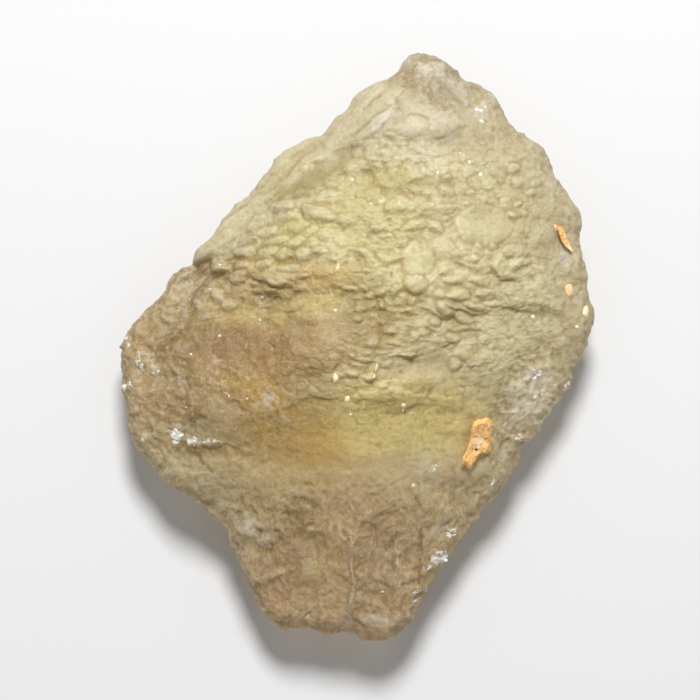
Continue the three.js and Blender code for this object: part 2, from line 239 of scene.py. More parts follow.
# Creases of the face, each walked from left to right: how far the face drops below it, how far
# down the drop fades out, and the line.
CREASES = [
    (0.8, 2.2, [(-22.3, 11.4), (-19.2, 12.3), (-17.2, 12.3), (-15.4, 12.1), (-14.2, 12.8), (-13.2, 14.0)]),
    (0.6, 1.2, [(-21.5, 9.0), (-19.6, 10.2), (-18.6, 10.6), (-17.6, 11.6)]),
    (0.5, 1.0, [(-21.4, 8.0), (-20.4, 9.2), (-19.2, 9.8)]),
    (0.7, 1.3, [(-15.0, 9.9), (-13.5, 9.1), (-12.2, 8.9), (-10.8, 8.1), (-9.0, 8.0)]),
    (0.6, 1.2, [(-18.9, 8.6), (-17.8, 7.5), (-16.2, 7.6), (-14.6, 8.2)]),
    (0.7, 1.2, [(-15.8, 6.9), (-14.4, 6.4), (-12.8, 6.1), (-11.6, 6.6)]),
    (0.3, 1.2, [(-11.0, 6.8), (-9.6, 6.8), (-7.2, 7.3), (-5.0, 7.7)]),
    (0.5, 0.8, [(-19.2, 12.5), (-17.6, 13.4), (-16.2, 13.9), (-15.2, 14.0)]),
    (0.5, 0.8, [(-16.8, 12.8), (-16.2, 12.4), (-15.0, 12.4), (-14.2, 12.9)]),
    (0.6, 0.8, [(-19.8, 10.4), (-19.0, 10.6), (-18.2, 11.0), (-17.4, 10.9)]),
    (0.6, 0.8, [(-13.4, 8.8), (-12.4, 8.5), (-11.0, 8.0), (-10.0, 8.4)]),
    (0.4, 1.0, [(-24.2, 9.2), (-22.4, 10.6), (-20.6, 11.6)]),
    (0.5, 1.0, [(-23.6, 6.4), (-22.6, 7.8), (-21.6, 8.6)]),
    (0.7, 1.4, [(-28.4, -2.0), (-26.5, 0.6), (-24.6, 3.2), (-22.9, 5.4)]),
    (0.4, 1.2, [(-24.3, -1.3), (-20.4, -1.9), (-17.2, -3.2), (-15.4, -5.2), (-13.7, -8.6)]),
    (0.4, 1.5, [(-24.6, -12.6), (-24.4, -8.0), (-24.0, -4.0)]),
    (0.5, 1.2, [(-24.8, -13.2), (-22.6, -13.9), (-20.4, -14.0), (-18.8, -13.6)]),
    (0.5, 1.0, [(-23.0, -8.0), (-21.6, -7.9), (-20.4, -8.6)]),
    (0.3, 1.0, [(-11.3, -2.4), (-11.6, 1.0), (-12.1, 4.0), (-12.4, 5.6)]),
    (0.3, 0.9, [(-6.9, 1.6), (-6.6, 3.4), (-5.4, 4.6), (-4.4, 5.6)]),
    (0.4, 0.9, [(-7.4, -3.2), (-5.2, -3.8), (-3.2, -3.0), (-1.8, -1.4)]),
    (0.4, 0.9, [(4.6, -5.6), (5.4, -7.6), (6.2, -8.2)]),
    (0.4, 0.9, [(8.0, -6.6), (9.2, -7.4), (9.8, -6.4)]),
    (0.4, 0.9, [(12.4, -2.0), (12.8, -3.0), (13.4, -3.3), (14.2, -2.9)]),
    (0.6, 1.0, [(3.0, 8.0), (3.8, 6.4), (4.0, 5.0), (5.4, 4.2), (7.8, 4.5)]),
    (0.5, 0.8, [(3.4, 3.4), (3.6, 2.0), (4.6, 1.6), (6.0, 1.9)]),
    (0.6, 0.9, [(-16.4, -23.4), (-14.4, -25.0), (-13.0, -26.4), (-12.0, -27.9)]),
    (0.6, 0.8, [(8.2, -19.6), (9.0, -20.8), (9.6, -21.8)]),
    (0.5, 0.8, [(5.8, -26.4), (6.2, -28.0), (6.0, -29.4), (6.6, -31.0)]),
    (0.4, 1.0, [(-19.0, 6.1), (-18.2, 5.2), (-17.3, 5.1), (-16.6, 5.9)]),
    (0.3, 1.0, [(-20.4, 4.2), (-19.6, 3.9), (-18.4, 4.3)]),
    (0.4, 1.2, [(-12.0, 13.2), (-11.3, 12.2), (-10.0, 11.9), (-8.4, 12.4)]),
    (0.4, 1.2, [(-8.6, 11.9), (-8.0, 11.3), (-6.9, 11.9), (-5.5, 12.8)]),
    (0.6, 1.5, [(-2.9, 8.4), (-1.5, 7.6), (0.5, 7.8), (2.0, 7.2)]),
    (0.5, 1.5, [(0.0, 14.2), (1.2, 14.4), (2.2, 13.6), (3.2, 12.4), (4.6, 11.8), (5.8, 12.0)]),
    (0.4, 1.2, [(1.8, 15.6), (4.6, 15.7), (6.0, 16.4), (7.4, 17.4), (8.6, 18.0), (10.0, 17.4), (12.6, 17.6)]),
    (0.5, 1.4, [(1.6, 23.6), (3.0, 22.4), (4.5, 22.0), (6.5, 22.1), (8.0, 23.3), (10.0, 23.8)]),
    (0.3, 1.0, [(7.2, 21.6), (8.2, 20.9), (9.6, 20.8), (10.4, 21.6)]),
    (0.3, 1.0, [(11.2, 21.6), (12.2, 20.6), (13.4, 20.5)]),
    (0.5, 1.6, [(14.2, 11.2), (15.4, 10.7), (18.6, 11.2), (20.0, 9.1), (21.4, 9.2), (24.0, 10.0)]),
    (0.6, 1.5, [(5.2, 9.8), (6.0, 8.2), (7.2, 7.2), (8.4, 6.6), (9.2, 6.2)]),
    (0.7, 1.2, [(2.6, 6.6), (3.2, 5.2), (4.2, 4.4), (5.8, 4.2), (7.6, 4.4)]),
    (0.7, 1.2, [(9.6, 5.2), (10.6, 4.6), (12.0, 3.8), (13.6, 3.9)]),
    (0.6, 1.2, [(9.9, 2.8), (11.0, 2.1), (12.6, 2.2), (15.0, 2.6), (16.4, 2.4)]),
    (0.7, 2.0, [(12.6, 5.6), (13.8, 4.8), (15.6, 4.3), (17.4, 4.6), (21.0, 5.4), (22.6, 4.9), (24.0, 4.8)]),
    (0.5, 0.9, [(4.2, 3.6), (5.6, 2.6), (7.2, 2.3)]),
    (0.4, 0.9, [(3.6, 1.9), (4.8, 1.6), (6.4, 1.7)]),
    (0.4, 0.9, [(2.8, 0.3), (4.4, -0.1), (6.0, 0.1)]),
    (0.4, 0.9, [(6.0, 0.9), (8.0, 1.0), (9.6, 0.9)]),
    (0.3, 0.9, [(9.5, -0.7), (10.8, -0.4), (12.4, 0.4)]),
    (0.5, 1.1, [(-0.6, -1.4), (0.8, -1.8), (2.4, -1.8)]),
    (0.6, 1.4, [(5.9, -1.2), (7.2, -1.6), (8.4, -1.2)]),
    (0.4, 1.0, [(-6.0, -3.2), (-4.6, -3.6), (-3.0, -2.8)]),
    (0.5, 1.2, [(-8.0, -7.6), (-6.4, -6.9), (-4.4, -7.1), (-3.0, -6.9), (-1.8, -6.6)]),
    (0.4, 1.0, [(-2.0, -4.1), (-0.6, -4.2), (1.0, -4.0), (2.4, -4.6)]),
    (0.3, 0.9, [(12.6, -2.6), (13.2, -3.2), (14.2, -2.8)]),
    (0.5, 1.2, [(4.6, -6.4), (5.6, -8.0), (6.8, -8.6), (8.0, -8.2), (9.6, -8.0)]),
    (0.6, 1.2, [(-5.8, 25.6), (-4.4, 26.1), (-3.6, 26.8)]),
    (0.7, 1.2, [(-2.9, 27.3), (-1.8, 27.5), (-0.6, 27.6), (0.8, 28.0), (2.5, 28.9)]),
    (0.25, 1.6, [(4.0, 29.0), (6.0, 28.5), (9.0, 28.4), (12.0, 28.9), (13.6, 29.8)]),
    (0.2, 1.2, [(5.0, 31.6), (8.0, 31.8), (11.0, 31.4)]),
]
# Dark brown lines in the creases, cracks and small holes of the left and lower parts, painted shade in those
# crevices: the half width and the line.
DARK_SEAMS = [
    (0.35, [(-24.2, 9.2), (-22.0, 9.9), (-20.5, 10.9)]), (0.35, [(-23.2, 6.7), (-21.8, 8.0), (-20.3, 9.6)]),
    (0.4, [(-28.3, -1.1), (-27.6, -0.2), (-26.6, 0.7), (-26.3, 2.0), (-25.6, 3.5)]),
    (0.3, [(-27.4, 4.5), (-26.0, 3.7)]), (0.25, [(-31.0, 5.8), (-30.4, 3.8)]),
    (0.3, [(-31.4, -2.6), (-30.6, -1.0)]), (0.6, [(-23.8, -9.9), (-22.5, -10.2), (-21.2, -9.9)]),
    (0.35, [(-23.4, -8.2), (-22.8, -9.0)]),
    (0.5, [(-24.7, -13.9), (-23.0, -14.4), (-20.6, -14.0), (-19.2, -13.3)]),
    (0.45, [(-22.5, -15.0), (-21.2, -16.3), (-20.2, -17.4)]),
    (0.3, [(-21.9, 2.9), (-21.2, 2.3), (-20.4, 2.8)]),
    (0.35, [(-19.6, -0.6), (-18.3, -1.2), (-17.2, -2.2)]),
    (0.2, [(-20.1, -3.3), (-19.1, -4.5), (-18.5, -5.7)]),
    (0.3, [(-18.4, -8.0), (-17.3, -7.2), (-15.8, -7.7), (-14.2, -8.7)]),
    (0.25, [(-26.5, 8.8), (-25.0, 9.6), (-23.6, 10.6)]), (0.25, [(-28.4, 6.6), (-26.6, 6.0), (-24.6, 6.2)]),
    (0.2, [(-29.6, -11.0), (-28.4, -12.4), (-27.6, -13.6)]),
    (0.5, [(-15.3, -24.6), (-14.0, -26.0), (-12.9, -27.4), (-12.2, -28.4)]),
    (0.3, [(-16.2, -21.0), (-15.7, -22.6)]), (0.2, [(-5.7, -27.2), (-5.3, -27.9)]),
    (0.35, [(0.8, -24.0), (2.0, -24.5), (3.2, -24.2)]), (0.2, [(5.5, -26.9), (5.4, -27.8)]),
    (0.2, [(6.3, -25.9), (6.1, -26.6)]), (0.25, [(5.5, -30.3), (5.9, -31.0), (6.4, -31.3)]),
    (0.2, [(0.4, -33.9), (1.5, -33.1), (3.0, -32.6), (5.2, -32.9)]),
    (0.25, [(-0.6, -37.3), (0.2, -38.2), (1.2, -38.6)]), (0.35, [(4.4, -35.1), (4.8, -36.2)]),
    (0.35, [(6.8, -36.0), (7.4, -37.0)]), (0.35, [(9.0, -20.6), (9.3, -21.8)]),
    (0.3, [(-8.5, -20.8), (-6.8, -21.6), (-5.2, -22.4)]),
    (0.3, [(-10.0, -23.0), (-8.0, -24.2), (-6.0, -25.0)]),
    (0.3, [(9.2, -25.5), (9.6, -29.0), (9.4, -33.0)]), (0.3, [(-7.4, -18.6), (-6.2, -18.9)]),
]
# Thin pale edges on the same parts, along ridges, chip edges and cracks: frosted glass, partly with painted
# highlights where the edges catch the light.
PALE_EDGES = [
    (0.14, [(-20.6, -1.2), (-19.0, -1.8), (-17.5, -2.2), (-16.4, -3.4), (-15.0, -4.4)]),
    (0.2, [(-19.4, -4.6), (-18.0, -5.0), (-17.4, -6.4)]),
    (0.2, [(-30.2, -3.4), (-31.0, -4.0), (-32.2, -4.3)]),
    (0.12, [(-29.6, -13.9), (-28.0, -14.6), (-27.0, -15.4)]), (0.2, [(-25.5, -13.6), (-25.3, -12.2)]),
    (0.15, [(-14.5, -24.1), (-13.4, -25.4), (-12.8, -26.6)]), (0.15, [(-4.5, -20.8), (-4.8, -22.4)]),
    (0.12, [(-0.9, -21.2), (-0.3, -22.6)]), (0.2, [(-0.9, -29.4), (-0.6, -31.5), (-0.2, -33.0)]),
    (0.3, [(-0.6, -34.0), (-0.6, -35.6), (-1.0, -36.6)]),
    (0.15, [(6.8, -26.7), (8.2, -25.3), (9.6, -24.9)]), (0.15, [(6.2, -26.8), (6.2, -28.6), (6.3, -31.3)]),
    (0.15, [(9.5, -35.2), (8.3, -36.4), (7.7, -37.7)]), (0.12, [(-5.3, -33.4), (-5.4, -34.8)]),
    (0.15, [(0.6, -37.2), (1.4, -37.8), (2.2, -38.8)]),
    (0.12, [(-11.6, -30.6), (-10.4, -32.0), (-9.4, -33.3)]), (0.12, [(-16.8, -26.9), (-15.6, -28.2)]),
    (0.15, [(-26.4, -4.2), (-24.6, -4.0), (-23.6, -5.4)]),
    (0.12, [(-19.6, -7.0), (-18.4, -7.6), (-18.8, -8.4)]),
    (0.12, [(-18.0, -11.6), (-16.0, -12.2), (-14.4, -11.6)]),
    (0.15, [(10.2, -26.4), (9.9, -29.0), (10.0, -31.0)]),
    (0.12, [(19.8, -7.6), (20.6, -9.6), (20.4, -11.8)]),
    (0.15, [(21.6, -13.6), (20.6, -15.6), (19.4, -17.4)]),
]


def stroke(x, y, line, half_width):
    """1 along a line, fading to its sides and past its ends."""
    depth, beyond = line_depth(x, y, line)
    return np.exp(-(depth / half_width) ** 2) * np.exp(-((beyond / half_width) ** 2))


# The lumps of the face that can be told apart: the middle, the half sizes, the turn and the height.
LUMPS = [
    # along the pale upper left
    ((-10.1, 19.3), (1.8, 1.0), 10, 0.6), ((-7.9, 21.0), (0.9, 0.6), 20, 0.35),
    ((-7.2, 24.5), (0.8, 0.4), 35, 0.3), ((-3.8, 20.7), (2.4, 1.0), 8, 0.55),
    ((-6.6, 19.2), (1.1, 0.9), 20, 0.45), ((-5.0, 18.2), (2.4, 1.3), 0, 0.6),
    ((-1.2, 17.6), (1.7, 1.2), 0, 0.5), ((-12.3, 16.1), (1.6, 0.9), 25, 0.55),
    ((-9.8, 17.9), (1.4, 0.8), 10, 0.45), ((-8.9, 16.5), (1.6, 0.9), 15, 0.45),
    ((-11.0, 14.6), (1.9, 0.8), 10, 0.55), ((-6.4, 15.7), (1.6, 0.9), 30, 0.45),
    ((-8.2, 14.3), (1.6, 0.9), 30, 0.55), ((-14.2, 14.9), (1.3, 0.5), 20, 0.45),
    ((-15.6, 13.2), (1.6, 0.9), 10, 0.65), ((-12.4, 13.0), (1.8, 0.9), 20, 0.55),
    ((-10.0, 12.7), (1.5, 0.8), 10, 0.5), ((-7.2, 12.4), (1.2, 1.2), 60, 0.75),
    ((-4.9, 13.2), (1.2, 0.8), 0, 0.4), ((-12.8, 11.6), (1.6, 0.8), 15, 0.55),
    ((-16.2, 11.6), (1.7, 0.8), 0, 0.5), ((-9.4, 10.8), (1.9, 0.7), 0, 0.5),
    ((-16.4, 9.7), (1.5, 1.0), 10, 0.65), ((-19.3, 10.6), (1.2, 0.5), 30, 0.45),
    ((-7.0, 9.6), (0.9, 0.6), 10, 0.45), ((-21.3, 10.9), (1.2, 0.6), 40, 0.4),
    ((-4.8, 10.1), (1.1, 0.5), 0, 0.3), ((-3.2, 12.0), (1.5, 0.7), -10, 0.35),
    ((-1.8, 24.4), (0.9, 0.35), 40, 0.3), ((-3.9, 15.5), (1.6, 1.1), 0, 0.4),
    # on and under the brown ridge
    ((-19.1, 7.4), (1.3, 1.2), -30, 0.6), ((-17.6, 6.2), (1.1, 1.0), 0, 0.7),
    ((-20.7, 7.9), (0.8, 0.7), 0, 0.4), ((-13.9, 8.7), (1.1, 0.4), -12, 0.4),
    ((-13.7, 7.6), (1.2, 0.4), -10, 0.4), ((-13.4, 6.9), (1.1, 0.35), 0, 0.3),
    ((-11.4, 7.5), (1.4, 0.5), -5, 0.4), ((-11.4, 8.8), (1.1, 0.4), -15, 0.4),
    ((-12.0, 6.2), (1.4, 0.6), 5, 0.4), ((-7.8, 7.9), (1.7, 0.6), 10, 0.4),
    ((-8.5, 5.8), (1.9, 1.1), 10, 0.35), ((-20.3, 4.5), (1.6, 0.8), 10, 0.3),
    ((-14.2, 3.2), (1.1, 1.2), 0, 0.2),
    # the middle
    ((1.0, 12.9), (1.9, 0.8), -20, 0.5), ((0.0, 10.6), (0.8, 0.5), 0, 0.4),
    ((1.2, 10.5), (0.9, 0.6), 0, 0.4), ((0.6, 5.2), (1.0, 0.6), 0, 0.5), ((1.9, 5.7), (0.9, 0.5), 10, 0.45),
    ((0.3, 3.9), (0.9, 0.6), 0, 0.5), ((3.2, 7.4), (1.1, 0.6), -30, 0.5), ((3.4, 3.6), (0.8, 0.5), 0, 0.5),
    ((0.9, 2.2), (0.9, 0.5), 0, 0.45), ((-0.4, 2.6), (0.8, 0.6), 0, 0.35), ((3.3, 5.6), (0.7, 0.6), 0, 0.5),
    ((-0.9, 4.9), (0.7, 0.6), 20, 0.4), ((2.2, 12.0), (1.6, 0.7), -15, 0.35),
    ((8.2, 12.0), (2.7, 2.3), 0, 0.4), ((12.0, 13.6), (1.9, 2.3), 10, 0.35),
    ((12.4, 10.9), (1.6, 0.8), -10, 0.35), ((13.4, 9.2), (1.7, 0.8), -15, 0.45),
    ((7.9, 8.5), (2.0, 1.6), -40, 0.65), ((6.2, 6.2), (1.3, 0.9), 20, 0.5),
    ((7.6, 6.0), (0.9, 0.7), 0, 0.4), ((5.4, 7.6), (0.8, 1.3), -20, 0.35),
    ((11.6, 7.3), (1.0, 0.9), 0, 0.4), ((13.9, 6.9), (1.6, 0.9), 0, 0.5),
    ((16.0, 5.6), (1.7, 0.6), -5, 0.5), ((12.4, 5.1), (1.6, 0.9), -20, 0.6),
    ((10.9, 3.6), (1.0, 0.8), 0, 0.45), ((14.6, 3.8), (1.6, 0.7), -15, 0.5),
    ((13.2, 1.3), (1.1, 0.9), 0, 0.6), ((6.4, 4.9), (1.8, 0.45), 0, 0.4), ((5.8, 3.9), (1.6, 0.4), 0, 0.4),
    ((4.6, 2.4), (1.1, 0.8), 0, 0.5), ((7.2, 3.1), (1.2, 0.4), 0, 0.35), ((7.9, 1.9), (1.0, 0.7), 0, 0.4),
    ((9.3, 2.1), (0.9, 0.6), 0, 0.4), ((4.9, 0.9), (1.4, 0.6), 0, 0.4), ((2.1, 0.9), (1.1, 0.9), 0, 0.5),
    ((6.6, 0.5), (0.8, 0.45), 0, 0.3), ((8.9, 0.4), (1.2, 0.5), 10, 0.35),
    ((11.2, 1.0), (1.5, 0.6), 0, 0.4), ((6.9, -0.9), (1.6, 0.5), 12, 0.5),
    ((3.7, -0.5), (1.3, 0.4), 0, 0.35), ((5.0, -1.0), (0.9, 0.4), 0, 0.3),
    ((1.6, -0.5), (1.0, 0.5), 0, 0.35), ((1.3, -1.4), (1.3, 0.4), 0, 0.4),
    ((-0.4, -1.0), (0.6, 0.5), 0, 0.4), ((-0.6, -3.5), (1.0, 0.7), 0, 0.5),
    ((2.0, -3.8), (1.0, 0.8), 0, 0.5), ((0.4, -2.3), (1.3, 0.5), 0, 0.4), ((2.2, 4.2), (1.0, 0.7), 0, 0.4),
    ((2.1, 2.9), (0.9, 0.6), 0, 0.35), ((1.5, 7.0), (1.0, 0.6), 0, 0.4), ((-0.2, 6.5), (0.8, 0.6), 0, 0.35),
    ((-1.0, 8.0), (1.0, 0.5), 0, 0.4), ((0.9, 8.2), (1.0, 0.5), 0, 0.4),
    ((13.5, -2.4), (0.9, 1.0), 0, 0.35), ((16.4, -1.7), (1.1, 1.2), 0, 0.35),
    ((14.4, -1.0), (1.1, 0.7), 0, 0.35), ((9.0, -4.0), (3.4, 2.3), 0, 0.25),
    ((7.6, -7.1), (2.3, 1.5), 0, 0.22), ((5.3, -6.0), (1.3, 1.5), 0, 0.25),
    ((11.3, -6.4), (1.3, 1.5), 0, 0.22), ((3.6, -5.0), (0.9, 0.9), 0, 0.4),
    # the upper right
    ((8.0, 33.9), (2.6, 2.2), 0, 0.2), ((7.6, 30.2), (2.4, 1.5), 0, 0.25),
    ((12.2, 30.4), (2.8, 2.5), 0, 0.25), ((4.6, 29.1), (0.9, 0.5), -10, 0.4),
    ((3.2, 26.8), (0.9, 0.5), 0, 0.35), ((4.4, 27.7), (0.7, 0.4), 0, 0.35),
    ((6.2, 27.9), (0.7, 0.4), 0, 0.35), ((7.6, 27.7), (0.7, 0.4), 0, 0.3),
    ((9.2, 27.9), (0.7, 0.4), 0, 0.3), ((5.2, 26.2), (0.8, 0.4), 0, 0.3),
    ((4.0, 25.6), (0.8, 0.4), 0, 0.35), ((2.0, 25.9), (0.9, 0.5), 0, 0.35),
    ((8.6, 22.0), (1.9, 1.0), -10, 0.4), ((12.3, 23.0), (0.9, 0.8), 20, 0.7),
    ((12.4, 21.2), (1.3, 0.7), 0, 0.4), ((13.8, 24.6), (1.3, 0.8), 0, 0.35),
    ((15.6, 24.3), (1.3, 0.9), 0, 0.35), ((15.8, 21.2), (0.9, 0.7), 0, 0.4),
    ((18.3, 22.6), (1.1, 1.0), 0, 0.4), ((21.8, 24.7), (1.1, 0.8), 0, 0.45),
    ((22.4, 22.8), (0.9, 0.8), 0, 0.4), ((24.8, 22.6), (0.7, 0.6), 0, 0.35),
    ((24.3, 21.3), (0.8, 0.5), 0, 0.35), ((21.3, 18.1), (0.8, 0.7), 0, 0.5),
    ((22.4, 19.6), (0.6, 0.5), 0, 0.4), ((23.3, 18.2), (0.9, 0.5), -30, 0.4),
    ((6.0, 19.3), (2.5, 1.3), 0, 0.5), ((9.6, 19.4), (1.7, 1.0), 0, 0.4),
    ((12.0, 19.2), (1.5, 0.9), 0, 0.4), ((3.0, 16.7), (1.6, 1.3), 0, 0.45),
    ((7.8, 16.6), (1.9, 1.0), 15, 0.5), ((10.6, 16.6), (1.5, 0.9), -20, 0.5),
    ((6.0, 14.2), (1.3, 0.7), 0, 0.35), ((17.6, 16.8), (4.3, 2.9), 0, 0.45),
    ((16.6, 13.9), (0.8, 0.5), -40, 0.4), ((17.9, 12.9), (0.8, 0.5), -40, 0.4),
    ((18.7, 14.0), (0.8, 0.5), -40, 0.4), ((16.0, 12.2), (1.1, 0.7), -20, 0.4),
    ((21.6, 13.2), (1.7, 1.2), 0, 0.45), ((22.3, 11.5), (1.7, 0.9), 0, 0.45),
    ((16.6, 9.2), (1.7, 0.9), 0, 0.4), ((17.4, 7.6), (1.7, 0.8), 10, 0.4),
    ((18.4, 6.0), (1.5, 0.6), 0, 0.4),
]
# Broad smooth domes: the middle, the half sizes and the height.
BROAD_DOMES = [((-16.5, 2.2), (4.2, 2.8), 0.7), ((-6.4, 2.6), (3.4, 3.6), 0.7), ((9, 31), (6, 4), 0.5)]
# The inner edge of the smooth pale strip along the upper left rim.
STRIP_EDGE = [(-23.4, 10.9), (-20.6, 11.8), (-18.5, 13.2), (-16.0, 14.9), (-13.5, 17.0), (-10.9, 19.6),
              (-8.1, 22.0), (-5.6, 25.2), (-3.0, 27.0), (0.0, 27.8), (2.5, 29.0), (4.2, 31.5), (5.5, 34.0)]

# Smooth lobes between the lumps: the middle, the half sizes, the turn and how smooth.
SMOOTH_LOBES = [
    ((9, 31.5), (7, 3.6), 10, 0.7), ((17.5, 16.5), (4.4, 2.8), -10, 0.8), ((9.5, 13), (3.4, 2.4), 20, 0.7),
    ((7.2, 9.4), (2.0, 2.8), 10, 0.8), ((-6, 24), (6, 1.6), 35, 0.6), ((10.5, -4), (4.2, 2.8), 0, 0.8),
    ((12.5, 7), (2.4, 2.2), 0, 0.7), ((-16, 3), (5.5, 3), 0, 0.8), ((-6.5, 3.5), (4.4, 3.6), 10, 0.8),
    ((4.5, 19.8), (3.4, 1.6), 10, 0.5), ((11.0, 3.4), (1.0, 0.8), 0, 0.8),
]

stone_work = merged_copy("desert_glass")
bmesh.ops.subdivide_edges(stone_work, edges=stone_work.edges, cuts=1, use_grid_fill=True)

# The ledges of the face that are softer on the glass than on the plain solid.
SOFT_LEDGES = [
    ((-3.5, 6.5), (7.5, 3.2)), ((3, 1), (9, 6)), ((14.5, 4), (10, 5)), ((-5, -6), (6, 3)), ((9, 17), (9, 5)),
]
stone_work.verts.index_update()
corners = np.array([corner.co for corner in stone_work.verts]) / MM
upright = np.array([corner.normal.z for corner in stone_work.verts])
links = np.array([[end.index for end in edge.verts] for edge in stone_work.edges])
rounded = wear_round(corners, links, COARSE_ROUNDING)
wear_share = 0.35 + 0.65 * smooth_step(mean_around(upright, links, 2), 0.35, 0.8)
corners += wear_share[:, None] * (rounded - corners)
softer = mean_around(corners, links, SOFTENING)
soft_share = np.zeros(len(corners))
for at, half in SOFT_LEDGES:
    soft_share = np.maximum(soft_share, in_ellipse(corners[:, 0], corners[:, 1], at, half, soft=0.3))
soft_share *= smooth_step(corners[:, 2], 9, 11)
corners += 0.85 * soft_share[:, None] * (softer - corners)
for corner, place in zip(stone_work.verts, corners):
    corner.co = place * MM
stone_work.normal_update()
face_edges = [edge for edge in stone_work.edges if any(side.normal.z > 0 for side in edge.link_faces)]
bmesh.ops.subdivide_edges(stone_work, edges=face_edges, cuts=FACE_CUTS, use_grid_fill=True)
bmesh.ops.triangulate(stone_work, faces=[side for side in stone_work.faces if len(side.verts) > 3])
stone = finished_piece(stone_work, "worn_glass")

edges = mesh_edges(stone.data)
points = wear_round(mesh_points(stone.data) / MM, edges, FINE_ROUNDING)
stone.data.vertices.foreach_set("co", (points * MM).ravel())
stone.data.update()
outwards = mean_around(mesh_points(stone.data, "normal"), edges, 12)
outwards /= np.linalg.norm(outwards, axis=1)[:, None]
x, y, z = points.T
x = x + 0.3 * waviness(x, y, 2.2, 41) + 0.12 * waviness(x, y, 0.8, 43)
y = y + 0.3 * waviness(x, y, 2.0, 42) + 0.12 * waviness(x, y, 0.8, 44)
facing_up = np.clip((outwards[:, 2] - 0.08) / 0.25, 0, 1)

strip_depth, strip_beyond = line_depth(x, y, STRIP_EDGE)
strip = smooth_step(-strip_depth, -0.2, 0.6) * (1 - smooth_step(strip_beyond, 0.5, 2.5))
lumpy = in_ellipse(x, y, (3.5, 11), (26, 20), turn=-6, soft=0.25)
for at, half, turn, share in SMOOTH_LOBES:
    lumpy *= 1 - share * in_ellipse(x, y, at, half, turn)
lumpy *= 1 - 0.9 * strip
ridged = in_ellipse(x, y, (-16.5, 8.8), (7.5, 3.6), turn=20)
fibrous = np.clip((-y - 17) / 6, 0, 1)
ragged = np.clip((-x - 21) / 5, 0, 1)
chipped = np.maximum(fibrous, ragged)
chipped = np.maximum(chipped, in_ellipse(x, y, (24, -8), (5, 9), turn=-25))
chipped = np.maximum(chipped, in_ellipse(x, y, (12, 37), (8, 4), turn=-25))
chipped *= 1 - 0.8 * strip
patchy = 0.5 + 0.5 * waviness(x, y, 4.5, 31)

told_apart = np.zeros(x.shape)
for at, half, turn, height in LUMPS:
    told_apart = np.maximum(told_apart, 1.35 * height * lump(x, y, at, half, turn))
scattered = np.maximum(0.4 * scales(x, y, (3.1, 2.2), 12), 0.08 + 0.26 * scales(x, y, (1.5, 1.1), 13))
scattered *= 0.3 + 0.7 * np.maximum(lumpy, ridged) - 0.2 * strip
relief = np.maximum(told_apart, scattered)
for at, half, height in BROAD_DOMES:
    relief += height * in_ellipse(x, y, at, half, soft=0.7)
relief += 0.25 * lumpy * scales(x, y, (7.4, 5.2), 11, lean=0.1)
relief += (0.6 + 0.4 * patchy) * 0.1 * scales(x, y, (0.95, 0.75), 14)
slanted = 0.77 * x + 0.64 * y
steep = 0.77 * y - 0.64 * x
broken = np.clip(0.5 + 0.6 * waviness(x, y, 1.9, 22), 0.1, 0.9)
# Painted shade: a narrow band just under each crease, which the colour darkens further down.
crevice_shade = np.zeros(x.shape)
for drop, fade, line in CREASES:
    relief -= (0.6 + 0.15 * ridged) * drop * broken * below_line(x, y, line, fade)
    crevice_shade = np.maximum(crevice_shade, min(drop / 0.5, 1) * broken * below_line(x, y, line, 0.45, blunt=0.25))
rib = np.exp(-(((x + 0.7) / 0.45) ** 2)) * smooth_step(y, -38, -36) * (1 - smooth_step(y, -31, -28))
relief += 0.5 * rib
relief += 0.35 * in_ellipse(x, y, (2, 30.2), (2.9, 0.7), turn=42, soft=0.3)
relief += 0.12 * waviness(x, y, 3.1, 4)
relief += strip * 0.4 * waviness(slanted, steep, 9.0, 23, height=1.8)
relief += strip * 0.12 * waviness(slanted, steep, 4.0, 25, height=0.6)
relief += fibrous * 0.5 * chips(x, y, (7.5, 5.5), 26)
rocky = chipped * (1 - 0.5 * fibrous)
relief += rocky * 0.45 * chips(x, y, (3.8, 3.2), 15)
relief += rocky * 0.28 * chips(x, y, (1.9, 1.6), 16)
relief += rocky * 0.18 * chips(x, y, (0.95, 0.85), 17)
relief += fibrous * 0.1 * waviness(x, y, 0.6, 5, height=2.5)
crumbled = np.maximum(0.9 * in_ellipse(x, y, (-17, -6), (12, 12), soft=0.4), 0.8 * fibrous)
crumbled *= (1 - 0.8 * lumpy) * (1 - strip) * (0.55 + 0.45 * waviness(x, y, 3.6, 32))
crumbled *= 1 - 0.6 * in_ellipse(x, y, (-13, 2.5), (9, 3.5), soft=0.4)
relief += crumbled * 0.5 * chips(x + 0.5 * waviness(x, y, 1.4, 33), y, (2.6, 2.0), 27)
relief += crumbled * 0.3 * chips(x, y + 0.3 * waviness(x, y, 0.9, 34), (1.3, 1.05), 28)
relief += crumbled * 0.16 * chips(x, y, (0.7, 0.55), 29)
relief += 0.55 * in_ellipse(x, y, (16.4, -13.2), (3.2, 4.6), turn=-12)
relief -= 0.4 * in_ellipse(x, y, (28.8, 13.8), (0.5, 1.6), turn=25)
rim_band = np.clip((15.0 - z) / 6, 0, 1) * (1 - strip) * (1 - fibrous)
relief += rim_band * 0.3 * chips(x, y, (2.2, 1.8), 48)
relief += rim_band * 0.2 * chips(x, y, (1.0, 0.85), 49)
relief -= 0.85 * smooth_step(z, 9, 15)
ragged_line = 0.35 * waviness(x, y, 1.1, 45)
shaded_seams = np.zeros(x.shape)
for half_width, line in DARK_SEAMS:
    shaded_seams = np.maximum(shaded_seams, stroke(x + ragged_line, y + ragged_line, line, half_width))
frost_and_glint_edges = np.zeros(x.shape)
for half_width, line in PALE_EDGES:
    frost_and_glint_edges = np.maximum(frost_and_glint_edges, stroke(x + ragged_line, y - ragged_line, line, half_width))
relief += 0.06 * frost_and_glint_edges - 0.12 * shaded_seams
relief *= facing_up

